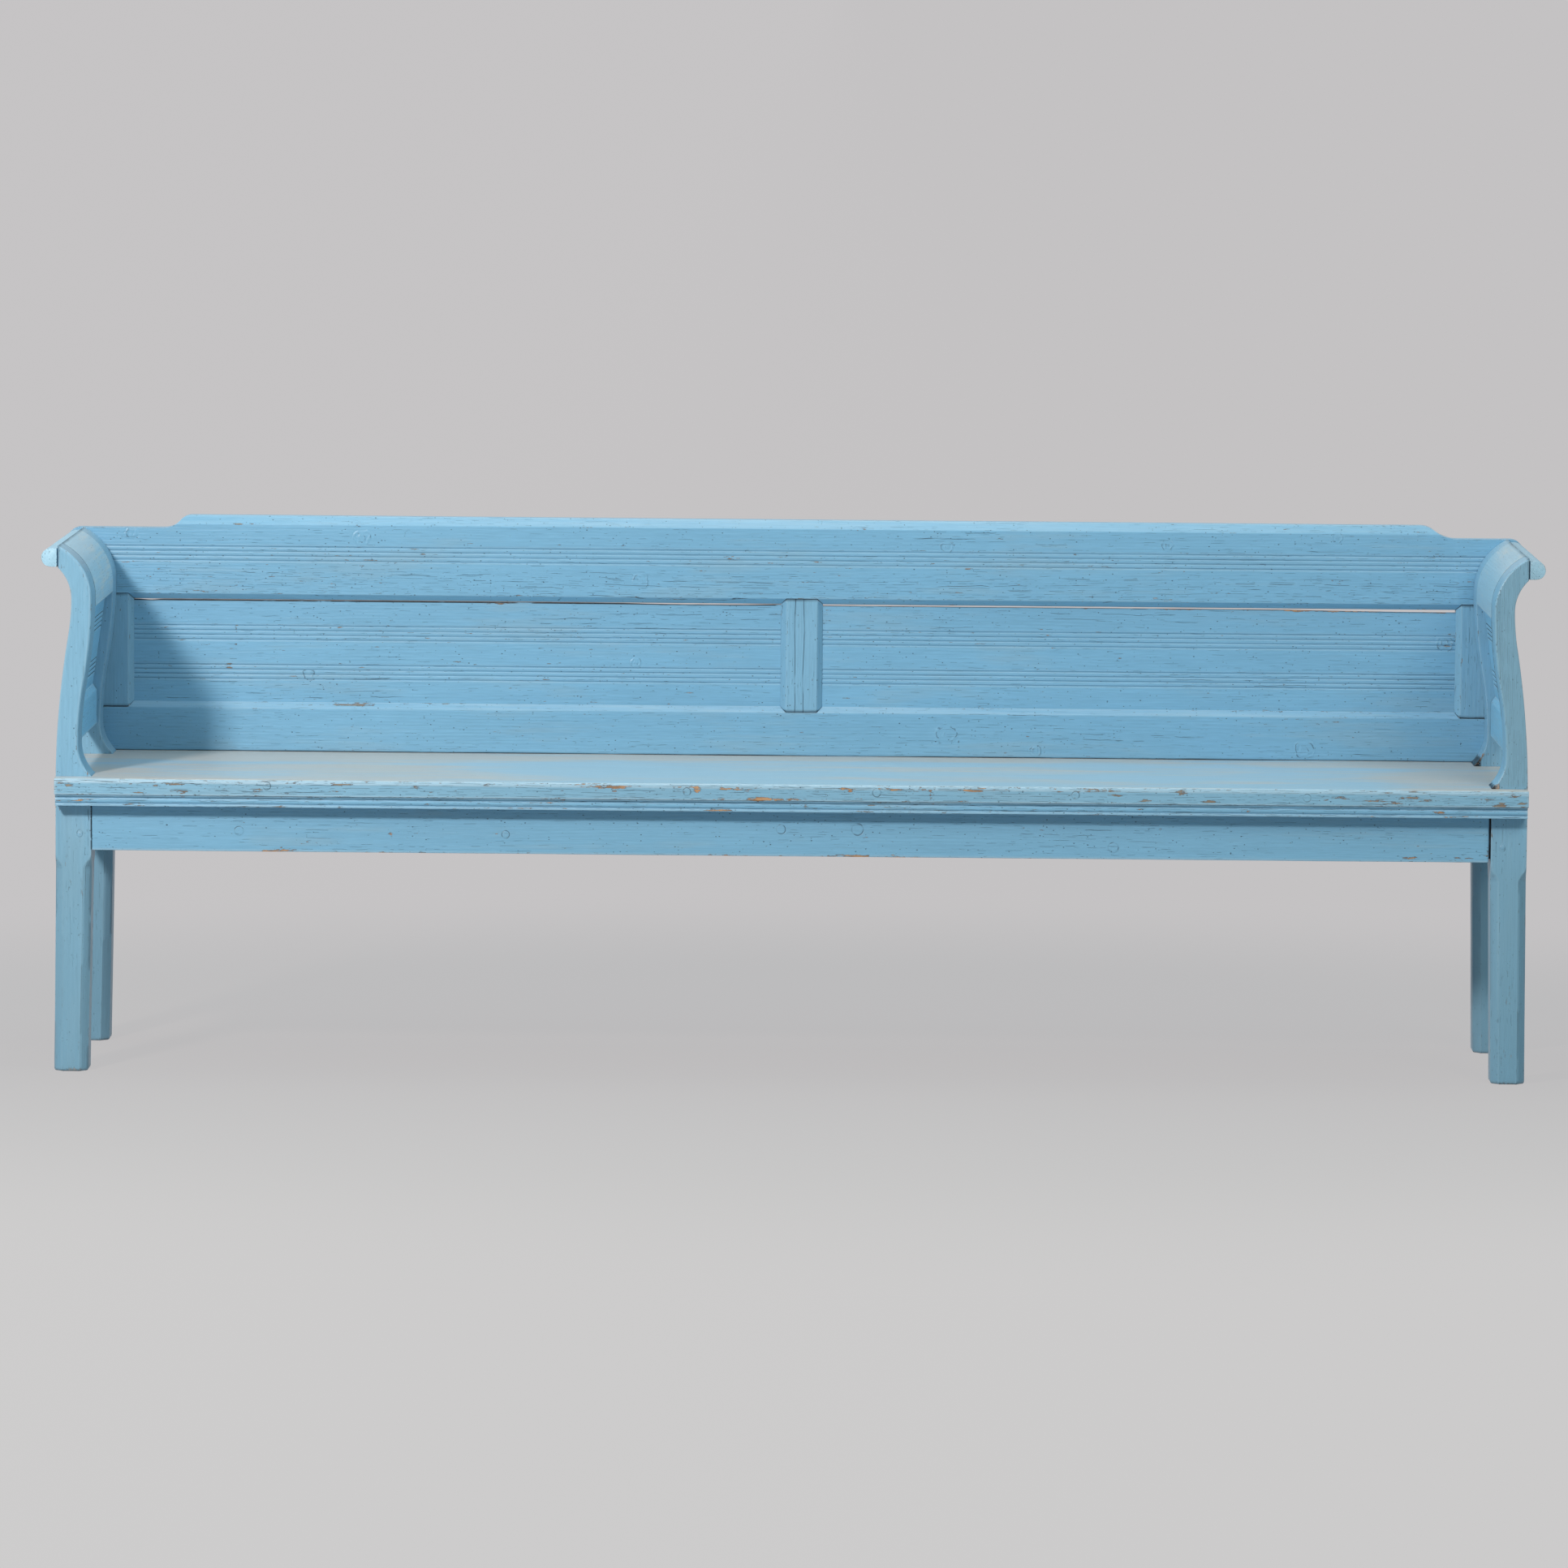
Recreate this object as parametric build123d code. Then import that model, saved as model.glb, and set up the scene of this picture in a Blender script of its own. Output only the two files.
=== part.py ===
from build123d import *
from math import cos, radians, sqrt, tan
import os

# Painted country settle: four scroll-topped posts, a board seat, a framed back and two panelled arms.
# Millimetres, +Z up.  X runs along the bench, +Y towards the back, and the origin is on the floor under
# the middle of the whole settle.  Left and right are seen from the front, so the left end is at -X.

# ---------------------------------------------------------------- driving dimensions
seat_height = 460            # floor to the top of the seat board
seat_thickness = 26
seat_half_length = 1135
seat_overhang = 30           # seat board in front of the legs
seat_edge_radius = 6.5       # rounded top edge at the front
post_spacing = 363           # front face of a front leg to front face of a rear leg

leg_outer = 1136             # outer face of a leg at the seat, from the middle of the bench
leg_inner = 1080
leg_depth = 64
leg_splay = 3                # how far the outer face leans out by the floor
leg_taper = 6                # how far the inner face moves out by the floor
leg_chamfer = 13             # stop chamfer on the long corners of the legs
stop_height = 339            # where the chamfers die out
stop_length = 24             # length of the lamb's tongue at each stop
foot_chamfer = 4             # worn edge round the foot

neck_height = 734            # the narrowest part of the post, where the scroll begins
neck_inner = 1079.5
neck_outer = 1111.5
throat_x = 1100.5            # deepest part of the scoop above the seat
throat_height = 508
heel_height = 440            # the outer face is upright below this
scroll_end_x = 1132          # joint between the scroll and the roll
scroll_top = 816
scroll_bottom = 781.5
post_edge_chamfer = 3        # along the front inner edge of the front posts

roll_radius = 14.5
roll_outer = 1158
roll_height = 797.5          # centre line of the roll above the floor

apron_bottom = 345
apron_thickness = 25
apron_gap = 3                # front apron's right-hand shoulder, pulled away from the leg
side_apron_inset = 3         # side apron in from the legs' outer faces
bearer_x = 380
bearer_width = 45
bearer_depth = 60

moulding_height = 17.5       # strip planted under the overhang
moulding_depth = 28
moulding_fillet = 3          # flat above and below the bead
quirk_width = 1.75           # V beside the bead
quirk_depth = 2.5

arm_board_thickness = 28
arm_board_lip = 16           # straight part of the arm board below the neck
arm_board_relief = 2         # end of its underside above the end of the scrolls
arm_rail_bottom = 508
arm_rail_top = 572
arm_rail_inner = 1105
arm_rail_outer = 1129
arm_rail_chamfer = 10
arm_panel_thickness = 12
arm_panel_tilt = 8.1         # degrees from upright, leaning in at the top
arm_panel_mid_x = 1102       # inner face at the height of arm_panel_mid_z
arm_panel_mid_z = 638
arm_panel_top = 726
arm_panel_bottom = 564

frame_thickness = 30         # framed back
frame_chamfer = 9.5          # chamfer round both openings, seen from the front
frame_chamfer_depth = 10
opening_half_length = 1052   # middle of the back to the edge of a stile
opening_bottom = 538.5
opening_top = 701.5
stile_outer = 1130
muntin_half_width = 34
muntin_shift = 12            # the muntin stands a little to the right of the middle
crest_height = 836           # raised middle of the top rail
crest_ends = {"left": -961, "right": 994}    # where it starts to drop, by hand and not quite alike
crest_runs = {"left": 44, "right": 58}       # length of each drop
crest_meet = 0.6             # where the two arcs of a drop meet, up from the shoulder
shoulder_height = 815.5      # top of the rail beyond the crest
top_rail_half_length = 1157
top_rail_corner = 18
horn_height = 732            # where the end of the top rail starts to sweep out
horn_cove = 27               # radius of that sweep
crest_chamfer = 14
crest_chamfer_depth = 12
panel_thickness = 10
panel_tongue = 8
panel_slip = {"left": 0.8, "right": 2.4}     # gap left above each shrunken panel

groove_width = 3
groove_depth = 1.6
groove_pitch = 7.4
grooves_in_band = 4
top_rail_band = 775.4        # heights of the middle of each band of grooves
panel_bands = (648.5, 586)
arm_panel_bands = (675.5, 602)

tenon_thickness = 10
tenon_inset = 5              # tenon shoulder above and below
apron_tenon = 36
side_tenon = 28
arm_tenon = 24
bearer_tenon = 10
frame_tenon = 44
frame_tenon_inset = 10       # shoulder on each side of the tenons of the stiles and the muntin
peg_radius = 4.2
peg_sides = 12               # pegs whittled with a knife
peg_length = 34
peg_proud = 0.6
apron_peg_x = 1098
apron_peg_height = 369.5
side_peg_set_back = 14       # from the shoulder of a tenon to the middle of its peg
arm_peg_height = 540
arm_peg_start = 1134.7       # outer face of the post at that height
arm_peg_length = 26
frame_peg_length = 25
frame_peg_set_back = 20
nail_width = 4.5             # square hand-forged shank
nail_length = 62
nail_head_radius = 5.5
nail_head_sides = 8
nail_head_thickness = 2
nail_places = ((1115, 480), (1112, 580), (1104, 660), (1102, 765))     # X and height
board_edge = 1.5             # small softened edge on the aprons

# ---------------------------------------------------------------- places worked out from them
bench_depth = seat_overhang + post_spacing + leg_depth + frame_thickness
front_face = seat_overhang - bench_depth / 2     # front faces of the front legs
front_back = front_face + leg_depth              # and their back faces
rear_face = front_face + post_spacing
back_face = rear_face + leg_depth                # front of the framed back
seat_bottom = seat_height - seat_thickness
side_apron_outer = leg_outer - side_apron_inset
side_apron_inner = side_apron_outer - apron_thickness
bench_back = back_face + frame_thickness
panel_front = back_face + frame_chamfer_depth    # the back panels stand behind the chamfers
flat_above = opening_top + frame_chamfer         # where the chamfers meet the flats of the rails
flat_below = opening_bottom - frame_chamfer
muntin_left = muntin_shift - muntin_half_width
muntin_right = muntin_shift + muntin_half_width

os.makedirs("parts", exist_ok=True)


# ---------------------------------------------------------------- helpers
def block(x0, x1, y0, y1, z0, z1):
    """A rectangular solid between two opposite corners."""
    size = (x1 - x0, y1 - y0, z1 - z0)
    middle = ((x0 + x1) / 2, (y0 + y1) / 2, (z0 + z1) / 2)
    return Pos(*middle) * Box(*size)


def from_front(outline, y, thickness):
    """Extrude an outline drawn in X and Z backwards from the plane at y."""
    return extrude(Plane.XZ.offset(-(y + thickness)) * outline, thickness)


def from_side(outline, x0, x1):
    """Extrude an outline drawn in Y and Z along X."""
    return extrude(Plane.YZ.offset(x0) * outline, x1 - x0)


def closed(*edges):
    """The face inside a ring of edges."""
    return make_face([*edges])


def polygon(*points):
    """The face inside a ring of straight lines."""
    return make_face(Polyline(*points, close=True))


def ogee(start, end, share, tangent):
    """Two tangent arcs that leave start and reach end in the same direction, meeting at share."""
    middle = (start[0] + (end[0] - start[0]) * share, start[1] + (end[1] - start[1]) * share)
    back = (-tangent[0], -tangent[1])
    return [TangentArc(start, middle, tangent=tangent), TangentArc(end, middle, tangent=back)]


def rod(start, direction, radius, sides, length):
    """A many-sided rod that starts at a point and runs along a direction."""
    return extrude(Plane(start, z_dir=direction) * RegularPolygon(radius, sides), length)


def peg(start, direction, length):
    """A whittled peg that starts at a point and runs along a direction."""
    return rod(start, direction, peg_radius, peg_sides, length)


def chamfer_along_x(z, depth, rise, x0, x1):
    """Cutter for a long chamfer on the framed back: full depth at z, running out at z + rise."""
    y = back_face
    return from_side(polygon((y - 1, z), (y + depth, z), (y, z + rise), (y - 1, z + rise)), x0, x1)


def chamfer_along_z(x, rise, z0, z1):
    """The same cutter upright, for a stile or the muntin: full depth at x, running out at x + rise."""
    y = back_face
    depth = frame_chamfer_depth
    outline = polygon((x, y - 1), (x, y + depth), (x + rise, y), (x + rise, y - 1))
    return extrude(Plane.XY.offset(z0) * outline, z1 - z0)


def grooves_along_x(middle, y, x0, x1):
    """Cutters for one band of straight V grooves in a front face at y."""
    half = groove_width / 2
    return [from_side(polygon((y - 1, height - half), (y, height - half), (y + groove_depth, height),
                              (y, height + half), (y - 1, height + half)), x0, x1)
            for height in band(middle)]


def band(middle):
    """Heights of the grooves in one band."""
    first = middle - groove_pitch * (grooves_in_band - 1) / 2
    return [first + groove_pitch * count for count in range(grooves_in_band)]


def mirrored(solid):
    """The same piece for the left end."""
    return mirror(solid, about=Plane.YZ)


# ---------------------------------------------------------------- legs and posts
def post_outline():
    """One plank seen from the front: tapered leg, scooped throat, ogee and outward scroll."""
    foot_inner = (leg_inner + leg_taper, 0)
    foot_outer = (leg_outer + leg_splay, 0)
    knee_outer = (leg_outer, apron_bottom)
    knee_inner = (leg_inner, apron_bottom)
    heel = (leg_outer, heel_height)
    outer_neck = (neck_outer, neck_height)
    inner_neck = (neck_inner, neck_height)
    throat = (throat_x, throat_height)
    tip = (leg_inner, seat_height)
    return closed(
        Line(foot_inner, foot_outer),
        Line(foot_outer, knee_outer),
        Line(knee_outer, heel),
        *ogee(heel, outer_neck, 0.81, (0, 1)),
        TangentArc(outer_neck, (scroll_end_x, scroll_bottom), tangent=(0, 1)),
        Line((scroll_end_x, scroll_bottom), (scroll_end_x, scroll_top)),
        TangentArc(inner_neck, (scroll_end_x, scroll_top), tangent=(0, 1)),
        *ogee(throat, inner_neck, 0.44, (0, 1)),
        TangentArc(throat, tip, tangent=(0, -1)),
        Line(tip, knee_inner),
        Line(knee_inner, foot_inner),
    )


def stopped_chamfer(top, foot, inward):
    """Cutter for one long corner of a leg, ending upwards in a lamb's tongue."""
    up = (Vector(*top) - Vector(*foot)).normalized()
    inward = Vector(*inward).normalized()
    corner_plane = Plane(origin=foot, x_dir=inward, z_dir=inward.cross(up))
    depth = leg_chamfer / sqrt(2)
    spare = 6
    full = stop_height - stop_length
    outline = closed(
        Line((-spare, -spare), (depth, -spare)),
        Line((depth, -spare), (depth, full)),
        *ogee((depth, full), (0, stop_height), 0.5, (0, 1)),
        Line((0, stop_height), (-spare, stop_height)),
        Line((-spare, stop_height), (-spare, -spare)),
    )
    return extrude(corner_plane * outline, leg_chamfer, both=True)


def leg(face, chamfered_edge):
    """Right-hand leg and post in one plank, with its front face at y = face."""
    plank = from_front(post_outline(), face, leg_depth)
    lean_outer = leg_splay / apron_bottom
    lean_inner = leg_taper / apron_bottom
    corners = []
    for x_top, lean, x_inward in ((leg_outer, lean_outer, -1), (leg_inner, lean_inner, 1)):
        for y, y_inward in ((face, 1), (face + leg_depth, -1)):
            foot = (x_top + lean * apron_bottom, y, 0)
            top = (x_top, y, apron_bottom)
            corners.append(stopped_chamfer(top, foot, (x_inward, y_inward, 0)))
    plank -= corners
    plank = chamfer(plank.edges().group_by(Axis.Z)[0], foot_chamfer)
    if chamfered_edge:
        plank = chamfer(inner_post_edges(plank, face), post_edge_chamfer)
    return plank


def inner_post_edges(plank, face):
    """The front inner edge of a post, from the seat to the end of the scroll."""
    inner_side = (throat_x + neck_outer) / 2
    found = []
    for edge in plank.edges():
        middle = edge.center()
        on_front = abs(middle.Y - face) < 0.01 and edge.bounding_box().size.Y < 0.01
        if on_front and middle.Z > seat_height + 1 and middle.X < inner_side:
            found.append(edge)
    return found


# ---------------------------------------------------------------- seat and its frame
def seat_board():
    """One wide board with a rounded front edge, notched round the four posts."""
    front = front_face - seat_overhang
    board = block(-seat_half_length, seat_half_length, front, bench_back, seat_bottom, seat_height)
    front_edges = board.edges().filter_by(Axis.X).group_by(Axis.Y)[0]
    board = fillet(front_edges.sort_by(Axis.Z)[-1], seat_edge_radius)
    for face in (front_face, rear_face):
        notch = block(leg_inner, leg_outer + 1, face, face + leg_depth, seat_bottom - 1, seat_height + 1)
        board -= [notch, mirrored(notch)]
    return board


def seat_moulding():
    """Moulding planted under the overhang: fillet, quirk, bead, quirk and fillet."""
    front = front_face - moulding_depth
    bottom = seat_bottom - moulding_height
    bead_top = seat_bottom - moulding_fillet - quirk_width
    bead_bottom = bottom + moulding_fillet + quirk_width
    back_of_quirk = front + quirk_depth
    section = closed(
        Polyline((back_of_quirk, bead_bottom), (front, bottom + moulding_fillet), (front, bottom),
                 (front_face, bottom), (front_face, seat_bottom), (front, seat_bottom),
                 (front, seat_bottom - moulding_fillet), (back_of_quirk, bead_top)),
        ThreePointArc((back_of_quirk, bead_top), (front, (bead_top + bead_bottom) / 2),
                      (back_of_quirk, bead_bottom)),
    )
    return from_side(section, -seat_half_length + 1, seat_half_length - 1)


def long_apron(front, tenon_front, right_gap):
    """Apron between two legs of the front or the back, with a tenon at each end."""
    board = block(-leg_inner, leg_inner - right_gap, front, front + apron_thickness,
                  apron_bottom, seat_bottom)
    lower_edges = board.edges().filter_by(Axis.X).group_by(Axis.Z)[0]
    board = chamfer(lower_edges, board_edge)
    reach = leg_inner + apron_tenon
    board += block(-reach, reach, tenon_front, tenon_front + tenon_thickness,
                   apron_bottom + tenon_inset, seat_bottom - tenon_inset)
    return board


def side_apron():
    """Right-hand apron between a front and a rear leg."""
    board = block(side_apron_inner, side_apron_outer, front_back, rear_face, apron_bottom, seat_bottom)
    tenon_x = side_apron_inner + (apron_thickness - tenon_thickness) / 2
    board += block(tenon_x, tenon_x + tenon_thickness, front_back - side_tenon, rear_face + side_tenon,
                   apron_bottom + tenon_inset, seat_bottom - tenon_inset)
    return board


def seat_bearer():
    """Cross rail under the seat board, stub-tenoned into both long aprons."""
    front = front_face + apron_thickness
    back = back_face - apron_thickness
    half = bearer_width / 2
    rail = block(bearer_x - half, bearer_x + half, front, back, seat_bottom - bearer_depth, seat_bottom)
    rail += block(bearer_x - half + tenon_inset, bearer_x + half - tenon_inset,
                  front - bearer_tenon, back + bearer_tenon,
                  seat_bottom - bearer_depth + tenon_inset, seat_bottom - tenon_inset)
    return rail


# ---------------------------------------------------------------- arms
def arm_panel_x(height):
    """Inner face of the leaning arm panel at a height."""
    return arm_panel_mid_x - (height - arm_panel_mid_z) * tan(radians(arm_panel_tilt))


def arm_panel_blank():
    """Flat board leaning inwards, with tongues for the grooves in both posts."""
    across = arm_panel_thickness / cos(radians(arm_panel_tilt))
    low = arm_panel_x(arm_panel_bottom)
    high = arm_panel_x(arm_panel_top)
    section = polygon((low, arm_panel_bottom), (low + across, arm_panel_bottom),
                      (high + across, arm_panel_top), (high, arm_panel_top))
    front = front_back - panel_tongue
    return from_front(section, front, rear_face + panel_tongue - front)


def arm_panel():
    """The arm panel with its two bands of grooves, cut square to the leaning face."""
    panel = arm_panel_blank()
    front = front_back - panel_tongue
    half = groove_width / 2
    groove = polygon((-1, -half), (0, -half), (groove_depth, 0), (0, half), (-1, half))
    for middle in arm_panel_bands:
        for height in band(middle):
            place = Pos(arm_panel_x(height), 0, height) * Rot(0, -arm_panel_tilt, 0)
            cutter = from_front(groove, front, rear_face + panel_tongue - front)
            panel -= place * cutter
    return panel


def arm_rail():
    """Bottom rail of the arm, chamfered along its inner top edge and tenoned into both posts."""
    section = polygon((arm_rail_inner, arm_rail_bottom), (arm_rail_outer, arm_rail_bottom),
                      (arm_rail_outer, arm_rail_top), (arm_panel_x(arm_rail_top), arm_rail_top),
                      (arm_rail_inner, arm_rail_top - arm_rail_chamfer))
    rail = from_front(section, front_back, rear_face - front_back)
    tenon_x = (arm_rail_inner + arm_rail_outer - tenon_thickness) / 2
    rail += block(tenon_x, tenon_x + tenon_thickness, front_back - arm_tenon, rear_face + arm_tenon,
                  arm_rail_bottom + tenon_inset, arm_panel_bottom - tenon_inset)
    return rail


def arm_board():
    """Arched board over the arm, following the scroll of the posts."""
    outer_neck = neck_inner + arm_board_thickness
    lip = neck_height - arm_board_lip
    underside = scroll_bottom + arm_board_relief
    section = closed(
        Polyline((neck_inner, neck_height), (neck_inner, lip), (outer_neck, lip), (outer_neck, neck_height)),
        TangentArc((outer_neck, neck_height), (scroll_end_x, underside), tangent=(0, 1)),
        Line((scroll_end_x, underside), (scroll_end_x, scroll_top)),
        TangentArc((neck_inner, neck_height), (scroll_end_x, scroll_top), tangent=(0, 1)),
    )
    return from_front(section, front_back, rear_face - front_back)


def arm_roll():
    """Half-round strip planted on the ends of the scrolls, from the front to the framed back."""
    centre_x = roll_outer - roll_radius
    low = roll_height - roll_radius
    high = roll_height + roll_radius
    section = closed(
        Polyline((centre_x, low), (scroll_end_x, low), (scroll_end_x, high), (centre_x, high)),
        ThreePointArc((centre_x, high), (roll_outer, roll_height), (centre_x, low)),
    )
    return from_front(section, front_face, back_face - front_face)


# ---------------------------------------------------------------- framed back
def notched_edge(opening, flat):
    """Opening side of a rail, from right to left, with mitred notches for the stiles and the muntin."""
    stile = opening_half_length
    return [(stile_outer, flat), (stile + frame_chamfer, flat), (stile, opening),
            (muntin_right, opening), (muntin_right - frame_chamfer, flat),
            (muntin_left + frame_chamfer, flat), (muntin_left, opening),
            (-stile, opening), (-stile - frame_chamfer, flat), (-stile_outer, flat)]


def bottom_rail():
    """Bottom rail of the back, standing on the seat board."""
    outline = polygon((-stile_outer, seat_height), (stile_outer, seat_height),
                      *notched_edge(opening_bottom, flat_below))
    rail = from_front(outline, back_face, frame_thickness)
    return rail - chamfer_along_x(opening_bottom, frame_chamfer_depth, -frame_chamfer,
                                  -stile_outer, stile_outer)


def top_rail_end(name, side):
    """Outline of one end of the top rail: out round the horn behind the roll, then up to the crest."""
    def at(x, z):
        return (side * x, z)

    shoulder_end = top_rail_half_length - top_rail_corner
    crest_end = side * crest_ends[name]
    drop_end = crest_end + crest_runs[name]
    return [
        Line(at(stile_outer, flat_above), at(stile_outer, horn_height)),
        TangentArc(at(stile_outer, horn_height), at(top_rail_half_length, horn_height + horn_cove),
                   tangent=(0, 1)),
        Line(at(top_rail_half_length, horn_height + horn_cove),
             at(top_rail_half_length, shoulder_height - top_rail_corner)),
        TangentArc(at(top_rail_half_length, shoulder_height - top_rail_corner),
                   at(shoulder_end, shoulder_height), tangent=(0, 1)),
        Line(at(shoulder_end, shoulder_height), at(drop_end, shoulder_height)),
        *ogee(at(drop_end, shoulder_height), at(crest_end, crest_height), crest_meet, (-side, 0)),
    ]


def top_rail():
    """Top rail with a raised, chamfered crest and a band of grooves."""
    outline = closed(
        *Polyline(*notched_edge(opening_top, flat_above)).edges(),
        *top_rail_end("right", 1),
        Line((crest_ends["right"], crest_height), (crest_ends["left"], crest_height)),
        *top_rail_end("left", -1),
    )
    rail = from_front(outline, back_face, frame_thickness)
    reach = top_rail_half_length
    rail -= chamfer_along_x(opening_top, frame_chamfer_depth, frame_chamfer, -stile_outer, stile_outer)
    rail -= chamfer_along_x(crest_height, crest_chamfer_depth, -crest_chamfer, -reach, reach)
    return rail - grooves_along_x(top_rail_band, back_face, -reach, reach)


def upright(left, right, chamfered_left, chamfered_right):
    """Stile or muntin: shoulders on the flats of the rails, mitred chamfers, a tenon at each end."""
    flat_left = left + chamfered_left * frame_chamfer
    flat_right = right - chamfered_right * frame_chamfer
    points = [(flat_left, flat_below), (flat_right, flat_below)]
    if chamfered_right:
        points += [(right, opening_bottom), (right, opening_top)]
    points += [(flat_right, flat_above), (flat_left, flat_above)]
    if chamfered_left:
        points += [(left, opening_top), (left, opening_bottom)]
    piece = from_front(polygon(*points), back_face, frame_thickness)
    if chamfered_right:
        piece -= chamfer_along_z(right, -frame_chamfer, flat_below, flat_above)
    if chamfered_left:
        piece -= chamfer_along_z(left, frame_chamfer, flat_below, flat_above)
    piece += block(flat_left + frame_tenon_inset, flat_right - frame_tenon_inset,
                   panel_front, panel_front + tenon_thickness,
                   flat_below - frame_tenon, flat_above + frame_tenon)
    return piece


def back_panel_blank(left, right, slip):
    """Plain board between two openings' sides, with tongues at the sides and along the bottom."""
    return block(left - panel_tongue, right + panel_tongue, panel_front, panel_front + panel_thickness,
                 opening_bottom - panel_tongue, opening_top - slip)


def back_panel(blank):
    """A back panel with its two bands of grooves."""
    ends = blank.bounding_box()
    for middle in panel_bands:
        blank -= grooves_along_x(middle, panel_front, ends.min.X, ends.max.X)
    return blank


# ---------------------------------------------------------------- pegs and nails
def apron_pegs():
    """Pegs through the tenons of the right-hand ends of all four aprons."""
    side_x = leg_outer + peg_proud
    return [
        peg((apron_peg_x, front_face - peg_proud, apron_peg_height), (0, 1, 0), peg_length),
        peg((apron_peg_x, back_face, apron_peg_height), (0, -1, 0), peg_length),
        peg((side_x, front_back - side_peg_set_back, apron_peg_height), (-1, 0, 0), peg_length),
        peg((side_x, rear_face + side_peg_set_back, apron_peg_height), (-1, 0, 0), peg_length),
    ]


def arm_pegs():
    """Pegs through the tenons of the right-hand arm rail, driven from the outer side."""
    start = arm_peg_start + peg_proud
    return [peg((start, y, arm_peg_height), (-1, 0, 0), arm_peg_length)
            for y in (front_back - arm_tenon / 2, rear_face + arm_tenon / 2)]


def frame_pegs():
    """Blind pegs from behind, one through each tenon of the framed back."""
    stile_middle = (opening_half_length + frame_chamfer + stile_outer) / 2
    pegs = []
    for x in (-stile_middle, muntin_shift, stile_middle):
        for z in (flat_below - frame_peg_set_back, flat_above + frame_peg_set_back):
            pegs.append(peg((x, bench_back, z), (0, -1, 0), frame_peg_length))
    return pegs


def back_nails():
    """Nails through the framed back into the right-hand rear post, heads punched in flush."""
    nails = []
    half = nail_width / 2
    for x, z in nail_places:
        shank = block(x - half, x + half, bench_back - nail_length, bench_back, z - half, z + half)
        head = rod((x, bench_back, z), (0, -1, 0), nail_head_radius, nail_head_sides, nail_head_thickness)
        nails.append(shank + head)
    return nails


def both_ends(solids):
    """Fixings of the right-hand end together with those of the left-hand end."""
    return solids + [mirrored(solid) for solid in solids]


# ---------------------------------------------------------------- the whole settle
def settle():
    """Every piece by name, with each mortise, groove and hole cut by the solid that fills it."""
    side_board = side_apron()
    rail = arm_rail()
    slab = arm_panel_blank()
    bearer = seat_bearer()
    bearers = [bearer, mirrored(bearer)]
    middle_of_tenon = (apron_thickness - tenon_thickness) / 2
    front_board = long_apron(front_face, front_face + middle_of_tenon, apron_gap)
    rear_board = long_apron(back_face - apron_thickness, back_face - middle_of_tenon - tenon_thickness, 0)
    long_pegs, arm_fixings = apron_pegs(), arm_pegs()
    all_long_pegs = both_ends(long_pegs)
    nails = both_ends(back_nails())
    pegs_behind = frame_pegs()

    front_leg = leg(front_face, True) - [front_board, side_board, rail, slab] - long_pegs - arm_fixings
    rear_leg = leg(rear_face, False) - [rear_board, side_board, rail, slab] - long_pegs - arm_fixings - nails

    blanks = {
        "left": back_panel_blank(-opening_half_length, muntin_left, panel_slip["left"]),
        "right": back_panel_blank(muntin_right, opening_half_length, panel_slip["right"]),
    }
    inside_frame = list(blanks.values())
    stiles = {
        "left": upright(-stile_outer, -opening_half_length, False, True),
        "right": upright(opening_half_length, stile_outer, True, False),
    }
    muntin = upright(muntin_left, muntin_right, True, True)
    uprights = [stiles["left"], stiles["right"], muntin]

    pieces = {
        "seat_board": seat_board(),
        "seat_moulding": seat_moulding(),
        "front_apron": front_board - bearers - all_long_pegs,
        "rear_apron": rear_board - bearers - all_long_pegs,
        "back_top_rail": top_rail() - uprights - pegs_behind - nails,
        "back_bottom_rail": bottom_rail() - uprights - inside_frame - pegs_behind - nails,
        "back_muntin": muntin - inside_frame - pegs_behind,
        "apron_pegs": Compound(all_long_pegs),
        "arm_pegs": Compound(both_ends(arm_fixings)),
        "frame_pegs": Compound(pegs_behind),
        "back_nails": Compound(nails),
    }
    for side in ("left", "right"):
        pieces["back_stile_" + side] = stiles[side] - inside_frame - pegs_behind - nails
        pieces["back_panel_" + side] = back_panel(blanks[side])
    right_hand = {
        "front_leg": front_leg,
        "rear_leg": rear_leg,
        "side_apron": side_board - long_pegs,
        "seat_bearer": bearer,
        "arm_top": arm_board() - slab,
        "arm_bottom_rail": rail - slab - arm_fixings,
        "arm_panel": arm_panel(),
        "arm_roll": arm_roll(),
    }
    for name, piece in right_hand.items():
        pieces[name + "_right"] = piece
        pieces[name + "_left"] = mirrored(piece)
    return pieces


for node, piece in settle().items():
    export_step(piece, "parts/" + node + ".step")
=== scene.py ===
from math import atan2, cos, pi, radians, sin

import bmesh
import bpy
import numpy as np
from mathutils import Matrix, Vector


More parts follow.
